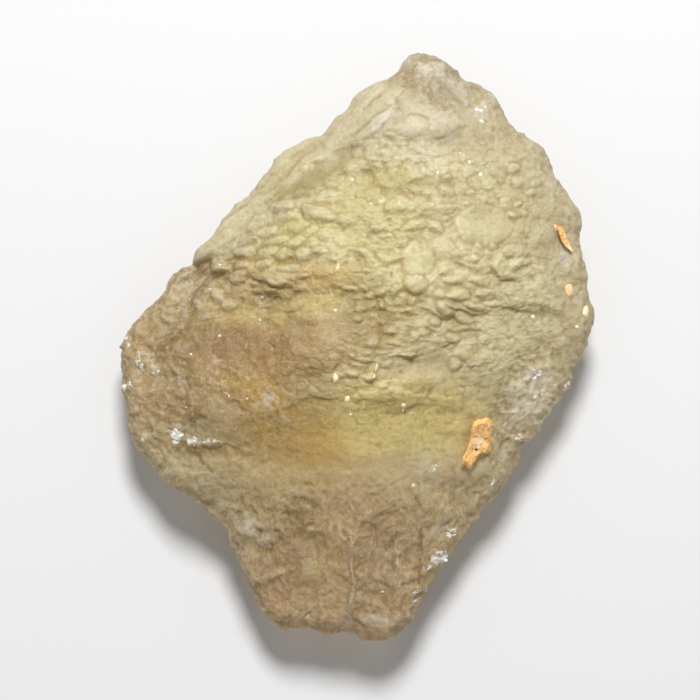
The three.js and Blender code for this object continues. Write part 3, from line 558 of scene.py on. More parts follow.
# The rim is nicked all the way round.
round_the_rim = 30 * np.arctan2(y, x)
at_the_rim = 1 - facing_up
nicked = 0.6 + 0.4 * waviness(round_the_rim, z, 5.0, 24)
relief += at_the_rim * nicked * 0.6 * chips(round_the_rim, z, (3.1, 7), 18, turn=20)
relief += at_the_rim * nicked * 0.45 * chips(round_the_rim, z, (1.3, 4.5), 19, turn=15)
relief += at_the_rim * 0.2 * chips(round_the_rim, z, (0.7, 1.6), 20, turn=30)
flank_across = round_the_rim + 0.6 * waviness(round_the_rim, z, 1.7, 35)
relief += at_the_rim * 0.35 * chips(flank_across, z, (2.6, 2.1), 36)
relief += at_the_rim * 0.2 * chips(flank_across, z, (1.2, 1.0), 37)
relief += 0.35 * at_the_rim
points += outwards * relief[:, None]
points[:, 2] = np.clip(points[:, 2], 0, None)
points *= np.minimum(1, np.array(cad_box[1]) / MM / points.max(axis=0))
low_corner = np.array([cad_box[0][0], cad_box[0][1], -1]) / MM
points *= np.minimum(1, low_corner / points.min(axis=0).clip(max=-1e-9))
stone.data.vertices.foreach_set("co", (points * MM).ravel())
stone.data.update()

# Painted shade: the colour is darker where the surface lies below the points around it, in hollows, creases
# and the gaps between lumps.
close = mean_around(relief, edges, 2)
around = mean_around(close, edges, 4)
wider = mean_around(around, edges, 14)
hollow = 0.7 * np.clip((close - relief) / 0.035, 0, 1) + 0.45 * np.clip((around - relief) / 0.11, 0, 1)
hollow += 0.5 * np.clip((wider - relief) / 0.35, 0, 1)
hollow = np.clip(hollow, 0, 1) * facing_up * (0.6 + 0.2 * ridged)
# Painted highlight: paler where the surface stands above the points around it.
proud = np.clip((relief - wider) / 0.25, 0, 1) * facing_up
# z looks into the points, so here it is the height of the finished surface
low_rim = np.clip((15.0 - z) / 6, 0, 1) * (1 - strip)
worn = 0.3 + 0.8 * chipped + 0.5 * low_rim + 0.6 * in_ellipse(x, y, (-14, -2), (12, 12))
worn = np.clip(worn - 0.2 * lumpy, 0, 1)
near_rim = low_rim * (1 - 0.8 * in_ellipse(x, y, (24, -9), (5, 9), -30))


def clouds(x, y, length, seed):
    """Noise from about -1 to 1 with finer noise on top of it."""
    return (0.55 * waviness(x, y, length, seed) + 0.3 * waviness(x, y, length / 2, seed + 1)
            + 0.2 * waviness(x, y, length / 4, seed + 2) + 0.12 * waviness(x, y, length / 8, seed + 3))


def mixed(colours, tint, mask):
    """The colours, turned to a tint where the mask is 1."""
    return colours + mask[:, None] * (np.array(tint) - colours)


def store_tint(mesh, tint):
    """Stores the colour of each point on the mesh."""
    stored = mesh.attributes.new("tint", "FLOAT_COLOR", "POINT")
    stored.data.foreach_set("color", np.c_[tint, np.ones(len(tint))].astype(np.float32).ravel())


# Tints of the glass from place to place, with painted shade under some creases among them: the tint, its
# share, and the patch's middle, half sizes, turn and softness.
TINTS = [
    ("pale middle", (1.0, 0.93, 0.55), 0.95, (6, 16), (20, 12), 0, 0.6),
    ("great lobe", (0.96, 0.91, 0.70), 0.85, (9, 31), (9, 5), 20, 0.5),
    ("pale streak", (1.0, 0.98, 0.86), 1.0, (2, 30.2), (3.1, 0.8), 42, 0.4),
    ("olive slope", (0.47, 0.40, 0.15), 0.85, (-5.5, 23.2), (6, 1.5), 36, 0.6),
    ("olive scoop", (0.62, 0.54, 0.24), 0.8, (6, 23.2), (5.5, 1.2), 0, 0.6),
    ("yellow lump", (0.96, 0.85, 0.36), 0.7, (-9, 14), (6, 3), 35, 0.6),
    ("right shoulder", (1.0, 0.92, 0.58), 0.9, (23, 5), (6, 9), 10, 0.6),
    ("right lower face", (1.0, 0.95, 0.60), 1.0, (20, -3), (4, 5), 10, 0.6),
    ("smoke", (0.44, 0.22, 0.03), 0.85, (-16, -1), (12, 9), -20, 0.6),
    ("middle brown", (0.48, 0.35, 0.12), 0.8, (0.5, 3.5), (5, 5), 0, 0.6),
    ("yellow dome", (0.92, 0.73, 0.25), 0.8, (-16, 4.6), (5.2, 2.1), 5, 0.8),
    ("yellow dome", (0.86, 0.67, 0.23), 0.8, (-6.5, 5.4), (4.5, 1.8), 10, 0.5),
    ("rosy dome", (0.46, 0.24, 0.08), 0.8, (-17.5, 0.6), (5.5, 1.9), -5, 0.9),
    ("brown dome", (0.50, 0.28, 0.07), 0.7, (-14.5, -2.3), (5, 1.5), 0, 0.6),
    ("rosy dome", (0.66, 0.44, 0.19), 0.7, (-5.5, 0.4), (3.6, 2.8), 0, 0.6),
    ("red seam", (0.40, 0.21, 0.06), 0.85, (-11, 0.5), (0.9, 2.6), 0, 0.5),
    ("rosy flank", (0.60, 0.35, 0.15), 0.8, (-27, -8), (4, 4.5), 20, 0.6),
    ("golden", (0.74, 0.47, 0.10), 0.75, (-5, 8.7), (5, 1.3), 8, 0.9),
    ("golden", (0.80, 0.50, 0.09), 0.75, (-13, -6.5), (5.5, 2.2), -30, 0.6),
    ("brown gap", (0.50, 0.35, 0.14), 0.75, (-4.5, -2.8), (3.6, 0.8), 15, 0.5),
    ("brown gap", (0.50, 0.33, 0.13), 0.75, (-5.5, -6.8), (3.8, 0.8), 5, 0.5),
    ("olive dent", (0.70, 0.56, 0.22), 0.6, (7.5, 6.8), (2.6, 2.4), 0, 0.5),
    ("brown window", (0.34, 0.21, 0.05), 0.9, (3.1, 5.6), (0.6, 0.7), 0, 0.5),
    ("amber", (0.70, 0.43, 0.07), 0.85, (-8, -12.5), (9, 4.2), 0, 0.6),
    ("olive valley", (1.0, 0.85, 0.34), 0.9, (6, -9.5), (11, 5), -5, 0.6),
    ("brown ridge", (0.96, 0.74, 0.36), 0.8, (-17.5, 8.8), (7.5, 2.8), 22, 0.5),
    # Painted shade: darker brown patches under the creases of the left end, for the shade in those hollows.
    ("shade under a crease", (0.34, 0.19, 0.04), 0.9, (-25.2, 1.4), (1.2, 3.8), -38, 0.5),
    ("shade under a crease", (0.38, 0.21, 0.04), 0.85, (-21.7, -9.2), (1.7, 1.0), 10, 0.5),
    ("shade under a crease", (0.30, 0.15, 0.03), 0.9, (-22.5, -14.8), (4.2, 0.9), -5, 0.5),
    ("shade under a crease", (0.28, 0.16, 0.04), 0.9, (-22.3, 10.2), (3.6, 0.8), 38, 0.5),
    ("shade under a crease", (0.26, 0.14, 0.03), 0.9, (-23.0, 6.8), (2.8, 0.9), 50, 0.5),
    ("lower end", (0.84, 0.58, 0.34), 0.85, (-1, -32), (17, 13), 0, 0.4),
    ("dark lower left", (0.58, 0.38, 0.18), 0.35, (-9, -23), (7, 4), -20, 0.5),
    ("mauve", (0.60, 0.43, 0.30), 0.7, (2, -28), (4.5, 5), 20, 0.5),
    ("dark mottle", (0.34, 0.23, 0.09), 0.55, (-7.5, -23.3), (2.4, 3.0), 0, 0.5),
    ("dark mottle", (0.36, 0.25, 0.10), 0.5, (1.6, -24.4), (1.8, 0.9), -8, 0.5),
    ("dark wedge", (0.40, 0.30, 0.11), 0.6, (-14.6, -26.4), (1.0, 3.2), 35, 0.4),
    ("pale brown", (0.98, 0.74, 0.48), 0.5, (-12.2, -24.6), (2.0, 2.0), 0, 0.5),
    ("smooth panel", (0.52, 0.32, 0.15), 0.6, (8.2, -29.0), (1.2, 4.2), -6, 0.3),
    ("pale olive", (0.92, 0.76, 0.40), 0.5, (-6.3, -30.0), (2.0, 2.4), 0, 0.5),
    ("grey foot", (0.70, 0.58, 0.43), 0.6, (2.5, -38.0), (6.0, 1.4), 0, 0.5),
    ("rosy flank", (0.46, 0.26, 0.12), 0.5, (-24.0, -5.6), (1.5, 2.6), -15, 0.5),
    ("clear window", (0.78, 0.58, 0.23), 0.7, (-4, -28.5), (2.2, 2.0), 0, 0.5),
    ("dark flank", (0.82, 0.64, 0.38), 0.7, (7.5, -22.5), (3.2, 1.8), -30, 0.5),
    ("green flank", (0.64, 0.56, 0.23), 0.7, (24.5, -5.2), (1.8, 1.2), 0, 0.5),
    ("pale flank", (1.0, 0.98, 0.80), 1.0, (24, -8), (3.2, 5), -30, 0.6),
    ("tip", (0.38, 0.36, 0.31), 0.8, (11.5, 37.8), (6, 3.2), -25, 0.4),
    ("green flank", (0.80, 0.73, 0.40), 0.3, (23, -11), (2.4, 1.2), 40, 0.5),
    ("olive middle", (0.86, 0.76, 0.32), 0.6, (2.5, 18), (6, 9), 0, 0.6),
    ("low band", (0.52, 0.37, 0.13), 0.75, (-7, -16.6), (13, 2.6), 0, 0.6),
    ("low left", (1.0, 0.82, 0.45), 0.6, (-13, -19.5), (6, 4), -10, 0.6),
    ("low right", (1.0, 0.80, 0.47), 0.7, (14.5, -20), (4, 4), -30, 0.6),
    ("left end", (0.62, 0.37, 0.10), 0.8, (-29, 0), (3, 7), -15, 0.6),
    ("brown bottom", (0.48, 0.23, 0.10), 0.7, (-11, -33), (4, 4.5), 10, 0.6),
    ("brown bottom", (0.44, 0.27, 0.13), 0.7, (8, -36), (4, 4), 0, 0.6),
]
CLEAR_GLASS = (0.84, 0.74, 0.46)
STRIP_PALE = (0.78, 0.70, 0.45)
RIM_GREY = (0.62, 0.54, 0.38)
RIM_DARK = (0.40, 0.32, 0.17)
# Painted shade for the hollows, for the band under each crease and for the dark lines, and a painted
# highlight for the crests, in the next four colours.
HOLLOW_SHADE_BROWN = (0.44, 0.30, 0.09)
CREVICE_SHADE_BROWN = (0.30, 0.18, 0.04)
SEAM_SHADE_BROWN = (0.22, 0.12, 0.03)
CREST_HIGHLIGHT_PALE = (0.98, 0.93, 0.66)
WORN_PALE = (0.92, 0.82, 0.60)
WORN_DARK = (0.36, 0.24, 0.09)
FROST_PALE = (0.96, 0.92, 0.80)
# Frosted places: the middle, the half sizes and the turn.
FROSTS = [
    ((11.5, 38.2), (4.0, 1.5), -25), ((17.4, 32.4), (1.2, 1.8), 0), ((25.5, -6.0), (1.6, 3.6), -20),
    ((24.5, -3.5), (0.9, 0.9), 0), ((21.5, -13.0), (1.6, 2.6), -20), ((9.8, -17.2), (1.1, 2.1), 0),
    ((12.6, -25.8), (1.8, 1.0), 15), ((11.4, -28.8), (1.6, 1.4), 20), ((-0.7, -32.5), (0.45, 3.6), 4),
    ((-17.9, -22.4), (1.6, 1.5), 0), ((-29.3, -2.0), (1.8, 1.6), -30), ((-30.2, 4.5), (1.2, 1.5), 0),
    ((-31.8, 0.8), (0.7, 1.6), 0), ((-24.6, -12.2), (1.2, 1.4), 0), ((-22.0, -13.0), (1.4, 1.1), 0),
    ((-12.5, -6.8), (3.0, 1.0), -15), ((-8.5, -9.5), (1.6, 0.8), 0), ((-10.0, 18.9), (0.7, 0.5), 0),
    ((28.5, 12.0), (1.0, 3.0), 10), ((-14.5, -25.5), (1.2, 3.0), 35), ((2.0, -38.0), (6.0, 0.8), 0),
]

wandering_x = x + 2.2 * clouds(x, y, 6, 81)
wandering_y = y + 1.8 * clouds(x, y, 6, 85)
tint = np.tile(np.array(CLEAR_GLASS), (len(points), 1))
tint = mixed(tint, STRIP_PALE, strip)
for name, shade, share, at, half, turn, soft in TINTS:
    tint = mixed(tint, shade, share * in_ellipse(wandering_x, wandering_y, at, half, turn, soft))
tint = mixed(tint, RIM_GREY, 0.6 * near_rim * (1 - 0.6 * ragged) * (1 - 0.5 * fibrous))
frosted_rim = near_rim * (1 - fibrous) * (1 - 0.7 * ragged)
frosted_rim *= smooth_step(clouds(x, y, 1.7, 113), 0.2, 0.5)
tint = mixed(tint, FROST_PALE, 0.6 * frosted_rim)
tint = mixed(tint, RIM_DARK, 0.45 * near_rim * smooth_step(clouds(x, y, 2.3, 117), 0.15, 0.6))
tint = mixed(tint, WORN_DARK, 0.2 * smooth_step(clouds(x, y, 7, 89), 0.05, 0.7))
streaky = waviness(slanted, steep, 6.0, 38, height=0.7) + 0.6 * waviness(slanted, steep, 3.0, 39, height=0.35)
tint = mixed(tint, WORN_DARK, 0.3 * strip * smooth_step(streaky, 0.15, 0.9))
tint = mixed(tint, FROST_PALE, 0.35 * strip * smooth_step(-streaky, 0.15, 0.9))
tint = mixed(tint, WORN_DARK, 0.35 * worn * smooth_step(clouds(x, y, 1.5, 93), 0.05, 0.6))
tint = mixed(tint, WORN_PALE, 0.22 * worn * smooth_step(clouds(1.5 * x, 0.4 * y, 1.6, 97), 0.05, 0.6))
# Painted shade in the hollows and the gaps between lumps.
tint = mixed(tint, HOLLOW_SHADE_BROWN, 0.9 * hollow)
# Painted shade in the narrow band under each crease.
tint = mixed(tint, CREVICE_SHADE_BROWN, 0.7 * crevice_shade * facing_up)
# Painted highlight on the crests.
tint = mixed(tint, CREST_HIGHLIGHT_PALE, 0.35 * proud)
# Painted shade along the dark lines in the creases, cracks and small holes.
tint = mixed(tint, SEAM_SHADE_BROWN, 0.8 * shaded_seams * (0.55 + 0.45 * waviness(x, y, 1.2, 46)))
# Frost along the pale edges, partly a painted highlight where they catch the light.
tint = mixed(tint, FROST_PALE, 0.7 * frost_and_glint_edges * (0.6 + 0.4 * waviness(x, y, 0.9, 47)))
crumbly = smooth_step(clouds(x, y, 1.3, 101), -0.1, 0.15)
for at, half, turn in FROSTS:
    frost = in_ellipse(x + 0.9 * clouds(x, y, 2, 105), y + 0.9 * clouds(x, y, 2, 109), at, half, turn, 0.5)
    tint = mixed(tint, FROST_PALE, 0.65 * frost * crumbly)
store_tint(stone.data, tint)
for label, mask in (("worn", worn), ("lumpy", np.clip(0.1 + lumpy + 0.6 * ridged - fibrous, 0, 1))):
    stored = stone.data.attributes.new(label, "FLOAT", "POINT")
    stored.data.foreach_set("value", mask.astype(np.float32))


def new_paint(name):
    """A material with its node tree and its shader."""
    paint = bpy.data.materials.new(name)
    paint.use_nodes = True
    return paint, paint.node_tree, paint.node_tree.nodes["Principled BSDF"]


def stored_value(tree, name):
    """A value that is stored on the mesh."""
    stored = tree.nodes.new("ShaderNodeAttribute")
    stored.attribute_name = name
    return stored


def node_group(name, inputs, outputs):
    """An empty shader group with named sockets, and its two ends."""
    group = bpy.data.node_groups.new(name, "ShaderNodeTree")
    for label, kind, value in inputs:
        socket = group.interface.new_socket(label, in_out="INPUT", socket_type=kind)
        socket.default_value = value
    for label, kind in outputs:
        group.interface.new_socket(label, in_out="OUTPUT", socket_type=kind)
    return group, group.nodes.new("NodeGroupInput"), group.nodes.new("NodeGroupOutput")


def wire(tree, source, output, target, entry):
    tree.links.new(source.outputs[output], target.inputs[entry])


def tinted(tree, colour, mask, tint, share=1.0):
    """The colour, turned to a tint where the mask is 1."""
    mix = tree.nodes.new("ShaderNodeMix")
    mix.data_type = "RGBA"
    mix.inputs["B"].default_value = (*tint, 1)
    if colour:
        source, output = colour
        tree.links.new(source.outputs[output], mix.inputs["A"])
    strength = tree.nodes.new("ShaderNodeMath")
    strength.operation = "MULTIPLY"
    strength.inputs[1].default_value = share
    mask_node, mask_output = mask
    tree.links.new(mask_node.outputs[mask_output], strength.inputs[0])
    tree.links.new(strength.outputs[0], mix.inputs["Factor"])
    return mix, "Result"


FINE_NOISE, noise_in, noise_out = node_group("fine_noise", (
    ("Vector", "NodeSocketVector", (0, 0, 0)),
    ("Scale", "NodeSocketFloat", 1.0),
    ("Detail", "NodeSocketFloat", 3.0),
    ("Distortion", "NodeSocketFloat", 0.0),
    ("Stretch", "NodeSocketVector", (1, 1, 1)),
    ("Turn", "NodeSocketVector", (0, 0, 0)),
), (("Fac", "NodeSocketFloat"),))
noise_place = FINE_NOISE.nodes.new("ShaderNodeMapping")
noise_field = FINE_NOISE.nodes.new("ShaderNodeTexNoise")
noise_field.inputs["Roughness"].default_value = 0.6
wire(FINE_NOISE, noise_in, "Vector", noise_place, "Vector")
wire(FINE_NOISE, noise_in, "Stretch", noise_place, "Scale")
wire(FINE_NOISE, noise_in, "Turn", noise_place, "Rotation")
wire(FINE_NOISE, noise_place, "Vector", noise_field, "Vector")
for entry in ("Scale", "Detail", "Distortion"):
    wire(FINE_NOISE, noise_in, entry, noise_field, entry)
wire(FINE_NOISE, noise_field, "Fac", noise_out, "Fac")


def fine_noise(tree, where, grain, detail=3.0, stretch=(1, 1, 1), turn=0.0, distortion=0.0):
    """Noise with grains of about a given size in millimetres."""
    noise = tree.nodes.new("ShaderNodeGroup")
    noise.node_tree = FINE_NOISE
    noise.inputs["Scale"].default_value = 0.6 / (grain * MM)
    noise.inputs["Detail"].default_value = detail
    noise.inputs["Distortion"].default_value = distortion
    noise.inputs["Stretch"].default_value = stretch
    noise.inputs["Turn"].default_value = (0, 0, math.radians(turn))
    wire(tree, where, "Object", noise, "Vector")
    return noise


def between(tree, source, output, low, high, to_low=0.0, to_high=1.0):
    """A value stretched so that low and high become two other numbers."""
    spread = tree.nodes.new("ShaderNodeMapRange")
    spread.inputs["From Min"].default_value = low
    spread.inputs["From Max"].default_value = high
    spread.inputs["To Min"].default_value = to_low
    spread.inputs["To Max"].default_value = to_high
    wire(tree, source, output, spread, "Value")
    return spread, "Result"


def product(tree, first, second):
    both = tree.nodes.new("ShaderNodeMath")
    both.operation = "MULTIPLY"
    tree.links.new(first[0].outputs[first[1]], both.inputs[0])
    tree.links.new(second[0].outputs[second[1]], both.inputs[1])
    return both, "Value"


def round_pebbles(tree, where, size):
    """Rounded cells of about a given size in millimetres, a little wider than they are tall."""
    placed = tree.nodes.new("ShaderNodeMapping")
    placed.inputs["Scale"].default_value = (0.8, 1.15, 1)
    wire(tree, where, "Object", placed, "Vector")
    cells = tree.nodes.new("ShaderNodeTexVoronoi")
    cells.inputs["Scale"].default_value = 1 / (size * MM)
    wire(tree, placed, "Vector", cells, "Vector")
    return cells


def carved(tree, source, output, strength, depth, invert=False, below=None):
    """A bump of a given depth in millimetres, laid over the one below it."""
    bump = tree.nodes.new("ShaderNodeBump")
    bump.invert = invert
    bump.inputs["Strength"].default_value = strength
    bump.inputs["Distance"].default_value = depth * MM
    wire(tree, source, output, bump, "Height")
    if below:
        wire(tree, below, "Normal", bump, "Normal")
    return bump


GLASS_IOR = 1.46
CLEAR_SHARE = 0.55
BODY_YELLOW = (0.72, 0.55, 0.06, 1)
BODY_DENSITY = 18
worn_glass, tree, surface = new_paint("worn_glass")
surface.inputs["IOR"].default_value = GLASS_IOR
surface.inputs["Transmission Weight"].default_value = CLEAR_SHARE
body_tint = tree.nodes.new("ShaderNodeVolumeAbsorption")
body_tint.inputs["Color"].default_value = BODY_YELLOW
body_tint.inputs["Density"].default_value = BODY_DENSITY
wire(tree, body_tint, "Volume", tree.nodes["Material Output"], "Volume")

where = tree.nodes.new("ShaderNodeTexCoord")
stone_tint = stored_value(tree, "tint")
worn_mask = stored_value(tree, "worn")
fleck = fine_noise(tree, where, 0.45, detail=4)
pale_flecks = product(tree, between(tree, fleck, "Fac", 0.54, 0.68), (worn_mask, "Fac"))
colour = tinted(tree, (stone_tint, "Color"), pale_flecks, WORN_PALE, 0.45)
dark_flecks = product(tree, between(tree, fleck, "Fac", 0.46, 0.34), (worn_mask, "Fac"))
colour = tinted(tree, colour, dark_flecks, WORN_DARK, 0.45)
streak = fine_noise(tree, where, 0.5, detail=3, stretch=(1, 0.22, 1), turn=12)
streaks = product(tree, between(tree, streak, "Fac", 0.6, 0.7), (worn_mask, "Fac"))
colour = tinted(tree, colour, streaks, WORN_PALE, 0.35)
swirl = fine_noise(tree, where, 0.3, detail=5, distortion=1.6)
swirl_pale = product(tree, between(tree, swirl, "Fac", 0.54, 0.62), (worn_mask, "Fac"))
colour = tinted(tree, colour, swirl_pale, WORN_PALE, 0.45)
swirl_dark = product(tree, between(tree, swirl, "Fac", 0.45, 0.37), (worn_mask, "Fac"))
colour = tinted(tree, colour, swirl_dark, WORN_DARK, 0.4)
pebbles = round_pebbles(tree, where, 0.5)
# Painted shade: the colour darkens towards the edges of the small round cells, in the gaps between the little
# bumps.
colour = tinted(tree, colour, between(tree, pebbles, "Distance", 0.4, 0.75), HOLLOW_SHADE_BROWN, 0.22)
tree.links.new(colour[0].outputs[colour[1]], surface.inputs["Base Color"])
dull = between(tree, fleck, "Fac", 0.5, 0.66, 0.62, 0.3)
tree.links.new(dull[0].outputs[dull[1]], surface.inputs["Roughness"])
lumpy_mask = stored_value(tree, "lumpy")
lumps_height = product(tree, (round_pebbles(tree, where, 1.05), "Distance"), (lumpy_mask, "Fac"))
lumps_bump = carved(tree, *lumps_height, 0.7, 0.3, invert=True)
pebbles_height = product(tree, (pebbles, "Distance"), (lumpy_mask, "Fac"))
pebble_bump = carved(tree, *pebbles_height, 0.6, 0.14, invert=True, below=lumps_bump)
grain_bump = carved(tree, fleck, "Fac", 0.8, 0.14, below=pebble_bump)
swirl_height = product(tree, (swirl, "Fac"), (worn_mask, "Fac"))
swirl_bump = carved(tree, *swirl_height, 0.8, 0.12, below=grain_bump)
wire(tree, swirl_bump, "Normal", surface, "Normal")
stone.data.materials.append(worn_glass)

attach(stone, "root")
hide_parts("desert_glass")


# The white splinters and the glint specks
# Where the rim and the face were struck the glass is crushed to white splinters. They are the same
# glass as the stone and still lie in the dents.
CHIP_SINK = 0.1
stone_skin = BVHTree.FromPolygons([tuple(point) for point in points],
                                  [tuple(side.vertices) for side in stone.data.polygons])


def face_height(x, y, beside=None):
    """The height of the stone's face over a place, in millimetres."""
    seat = stone_skin.ray_cast(Vector((x, y, 60)), Vector((0, 0, -1)))[0]
    return seat.z if seat else beside


def seated_chip(work, at, half, turn, chance, jagged=0.35, roundness=2):
    """Adds a small flat chip that follows the stone's face, half sunk in it."""
    middle = face_height(*at)
    if middle is None:
        return
    angle = math.radians(turn)
    made = bmesh.ops.create_icosphere(work, subdivisions=roundness, radius=1)
    for corner in made["verts"]:
        swell = 1 + jagged * chance.uniform(-1, 1)
        along = corner.co.x * half[0] * swell
        across = corner.co.y * half[1] * swell
        x = at[0] + along * math.cos(angle) - across * math.sin(angle)
        y = at[1] + along * math.sin(angle) + across * math.cos(angle)
        height = face_height(x, y, middle) + corner.co.z * half[2] * swell - CHIP_SINK * half[2] / 0.2
        corner.co = Vector((x, y, max(height, middle - 1.0)))


# Each bruise: its middle, its half sizes, its turn and how many splinters it holds.
BRUISES = [
    ((-24.6, -12.2), (0.9, 1.0), 35, 9), ((-22.4, -13.0), (0.7, 0.9), 0, 8),
    ((-20.5, -12.8), (0.6, 0.4), 20, 4), ((-19.0, -12.7), (0.7, 0.3), 10, 3),
    ((-29.6, -2.3), (0.9, 0.5), -35, 3), ((-29.9, -1.4), (0.3, 0.9), 0, 2),
    ((-27.6, -3.3), (0.7, 0.4), 0, 2), ((-32.0, -5.6), (0.5, 0.7), 0, 5), ((-31.0, -5.2), (0.5, 0.6), 0, 3),
    ((-29.6, 4.6), (0.8, 0.6), 40, 2), ((-32.0, 1.6), (0.4, 0.8), 10, 3), ((-31.4, 0.4), (0.3, 0.5), 0, 2),
    ((-18.6, 1.6), (0.35, 0.25), 0, 1), ((-22.6, -0.9), (0.35, 0.2), -40, 1),
    ((-17.4, -6.3), (0.4, 0.4), 30, 2), ((-23.2, -8.2), (0.25, 0.25), 0, 1),
    ((-29.4, -12.6), (0.2, 0.5), 0, 1), ((-14.7, -6.9), (0.3, 0.2), 0, 1), ((24.5, -3.5), (0.8, 0.8), 0, 4),
    ((24.6, -7.0), (0.3, 0.7), 0, 3), ((25.7, -6.5), (0.45, 0.3), 0, 2), ((21.8, -8.8), (0.5, 0.4), 30, 3),
    ((22.4, -12.5), (0.5, 0.7), -30, 4), ((29.0, -5.0), (0.5, 0.7), 0, 3),
    ((19.0, -18.5), (0.4, 0.8), -20, 4), ((10.6, -16.4), (0.25, 0.8), -10, 2),
    ((13.0, -25.5), (1.2, 0.6), 15, 4), ((11.5, -28.8), (1.2, 1.0), 30, 10),
    ((10.0, -30.3), (0.6, 0.5), 0, 3), ((8.4, -33.6), (0.6, 0.4), 30, 3), ((8.0, -34.7), (0.4, 0.5), 0, 2),
    ((17.2, 33.0), (0.8, 0.8), 20, 2), ((17.2, 31.0), (0.5, 0.4), 0, 1), ((8.1, 9.6), (0.3, 0.15), -35, 1),
    ((8.7, 9.3), (0.4, 0.2), 50, 2), ((10.6, 1.5), (0.3, 0.2), 0, 1), ((14.7, -2.4), (0.3, 0.2), 0, 1),
    ((14.0, -5.6), (0.25, 0.2), 0, 1), ((7.4, -8.8), (0.45, 0.3), 10, 2), ((1.0, -7.9), (0.35, 0.2), 0, 1),
    ((-0.8, -9.0), (0.3, 0.3), 0, 1), ((-13.0, 3.7), (0.25, 0.2), 0, 1), ((-12.7, 6.8), (0.3, 0.2), 0, 1),
    ((14.4, 26.2), (0.5, 0.3), -40, 2), ((15.6, 25.2), (0.5, 0.3), -40, 2),
    ((16.9, 23.5), (0.3, 0.3), 0, 1), ((11.0, 23.7), (0.25, 0.2), 0, 1),
    ((14.9, 19.5), (0.35, 0.25), -20, 1), ((2.0, 19.4), (0.3, 0.2), 20, 1),
    ((-0.5, 22.8), (0.3, 0.2), 0, 1), ((-18.7, 11.3), (0.3, 0.2), 0, 1), ((-20.0, 8.0), (0.25, 0.2), 0, 1),
    ((-2.8, 5.0), (0.4, 0.25), 20, 1),
]
splinter_and_glint_work = bmesh.new()
splinters = np.random.default_rng(51)
for (at_x, at_y), (half_x, half_y), turn, number in BRUISES:
    for index in range(number if number == 1 else 3 * number):
        spread = 0 if number == 1 else 0.9
        angle = splinters.uniform(0, 2 * math.pi)
        reach = spread * math.sqrt(splinters.uniform(0, 1))
        along = reach * half_x * math.cos(angle)
        across = reach * half_y * math.sin(angle)
        turned = math.radians(turn)
        at = (at_x + along * math.cos(turned) - across * math.sin(turned),
              at_y + along * math.sin(turned) + across * math.cos(turned))
        size = 0.8 if number == 1 else splinters.uniform(0.12, 0.42)
        half = (max(half_x * size, 0.12), max(half_y * size * 0.8, 0.09), 0.16)
        seated_chip(splinter_and_glint_work, at, half, turn + splinters.uniform(-60, 60), splinters)
# Painted highlights: tiny white specks scattered over the worn left and lower parts, standing in for glints
# of light on the glass.
for at_x, at_y in splinters.uniform((-33, -40), (30, 5), (420, 2)):
    if at_x < -18 + splinters.uniform(-8, 4) or at_y < -15 + splinters.uniform(-8, 6):
        seated_chip(splinter_and_glint_work, (at_x, at_y), splinters.uniform(0.05, 0.11, 3), 0, splinters, roundness=1)
bmesh.ops.scale(splinter_and_glint_work, vec=(MM, MM, MM), verts=splinter_and_glint_work.verts)
splinter_and_glint_piece = finished_piece(splinter_and_glint_work, "white_splinters_and_glints")
splinter_and_glint_piece.data.polygons.foreach_set("use_smooth", [False] * len(splinter_and_glint_piece.data.polygons))

splinter_and_glint_paint, tree, surface = new_paint("crushed_glass_and_glints")
surface.inputs["IOR"].default_value = GLASS_IOR
surface.inputs["Transmission Weight"].default_value = 0.0
where = tree.nodes.new("ShaderNodeTexCoord")
speckle = fine_noise(tree, where, 0.3)
colour = tinted(tree, None, between(tree, speckle, "Fac", 0.42, 0.62), (0.88, 0.87, 0.83), 1.0)
colour[0].inputs["A"].default_value = (0.68, 0.64, 0.55, 1)
tree.links.new(colour[0].outputs[colour[1]], surface.inputs["Base Color"])
dull = between(tree, speckle, "Fac", 0.3, 0.7, 0.2, 0.5)
tree.links.new(dull[0].outputs[dull[1]], surface.inputs["Roughness"])
splinter_and_glint_piece.data.materials.append(splinter_and_glint_paint)
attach(splinter_and_glint_piece, "root")


# The baked sand
# Ochre desert sand, set hard in a hollow at the lower right of the face and in a groove near the
# right rim, with loose cream grains caught between the lumps. It is stuck on, not part of the glass.
SAND_CUTS = 4
SAND_OCHRE = (0.82, 0.47, 0.16)
SAND_PALE = (0.94, 0.70, 0.40)
SAND_BROWN = (0.50, 0.24, 0.06)
# Painted shade for the hole in the crust.
HOLE_SHADE_DARK = (0.08, 0.04, 0.02)


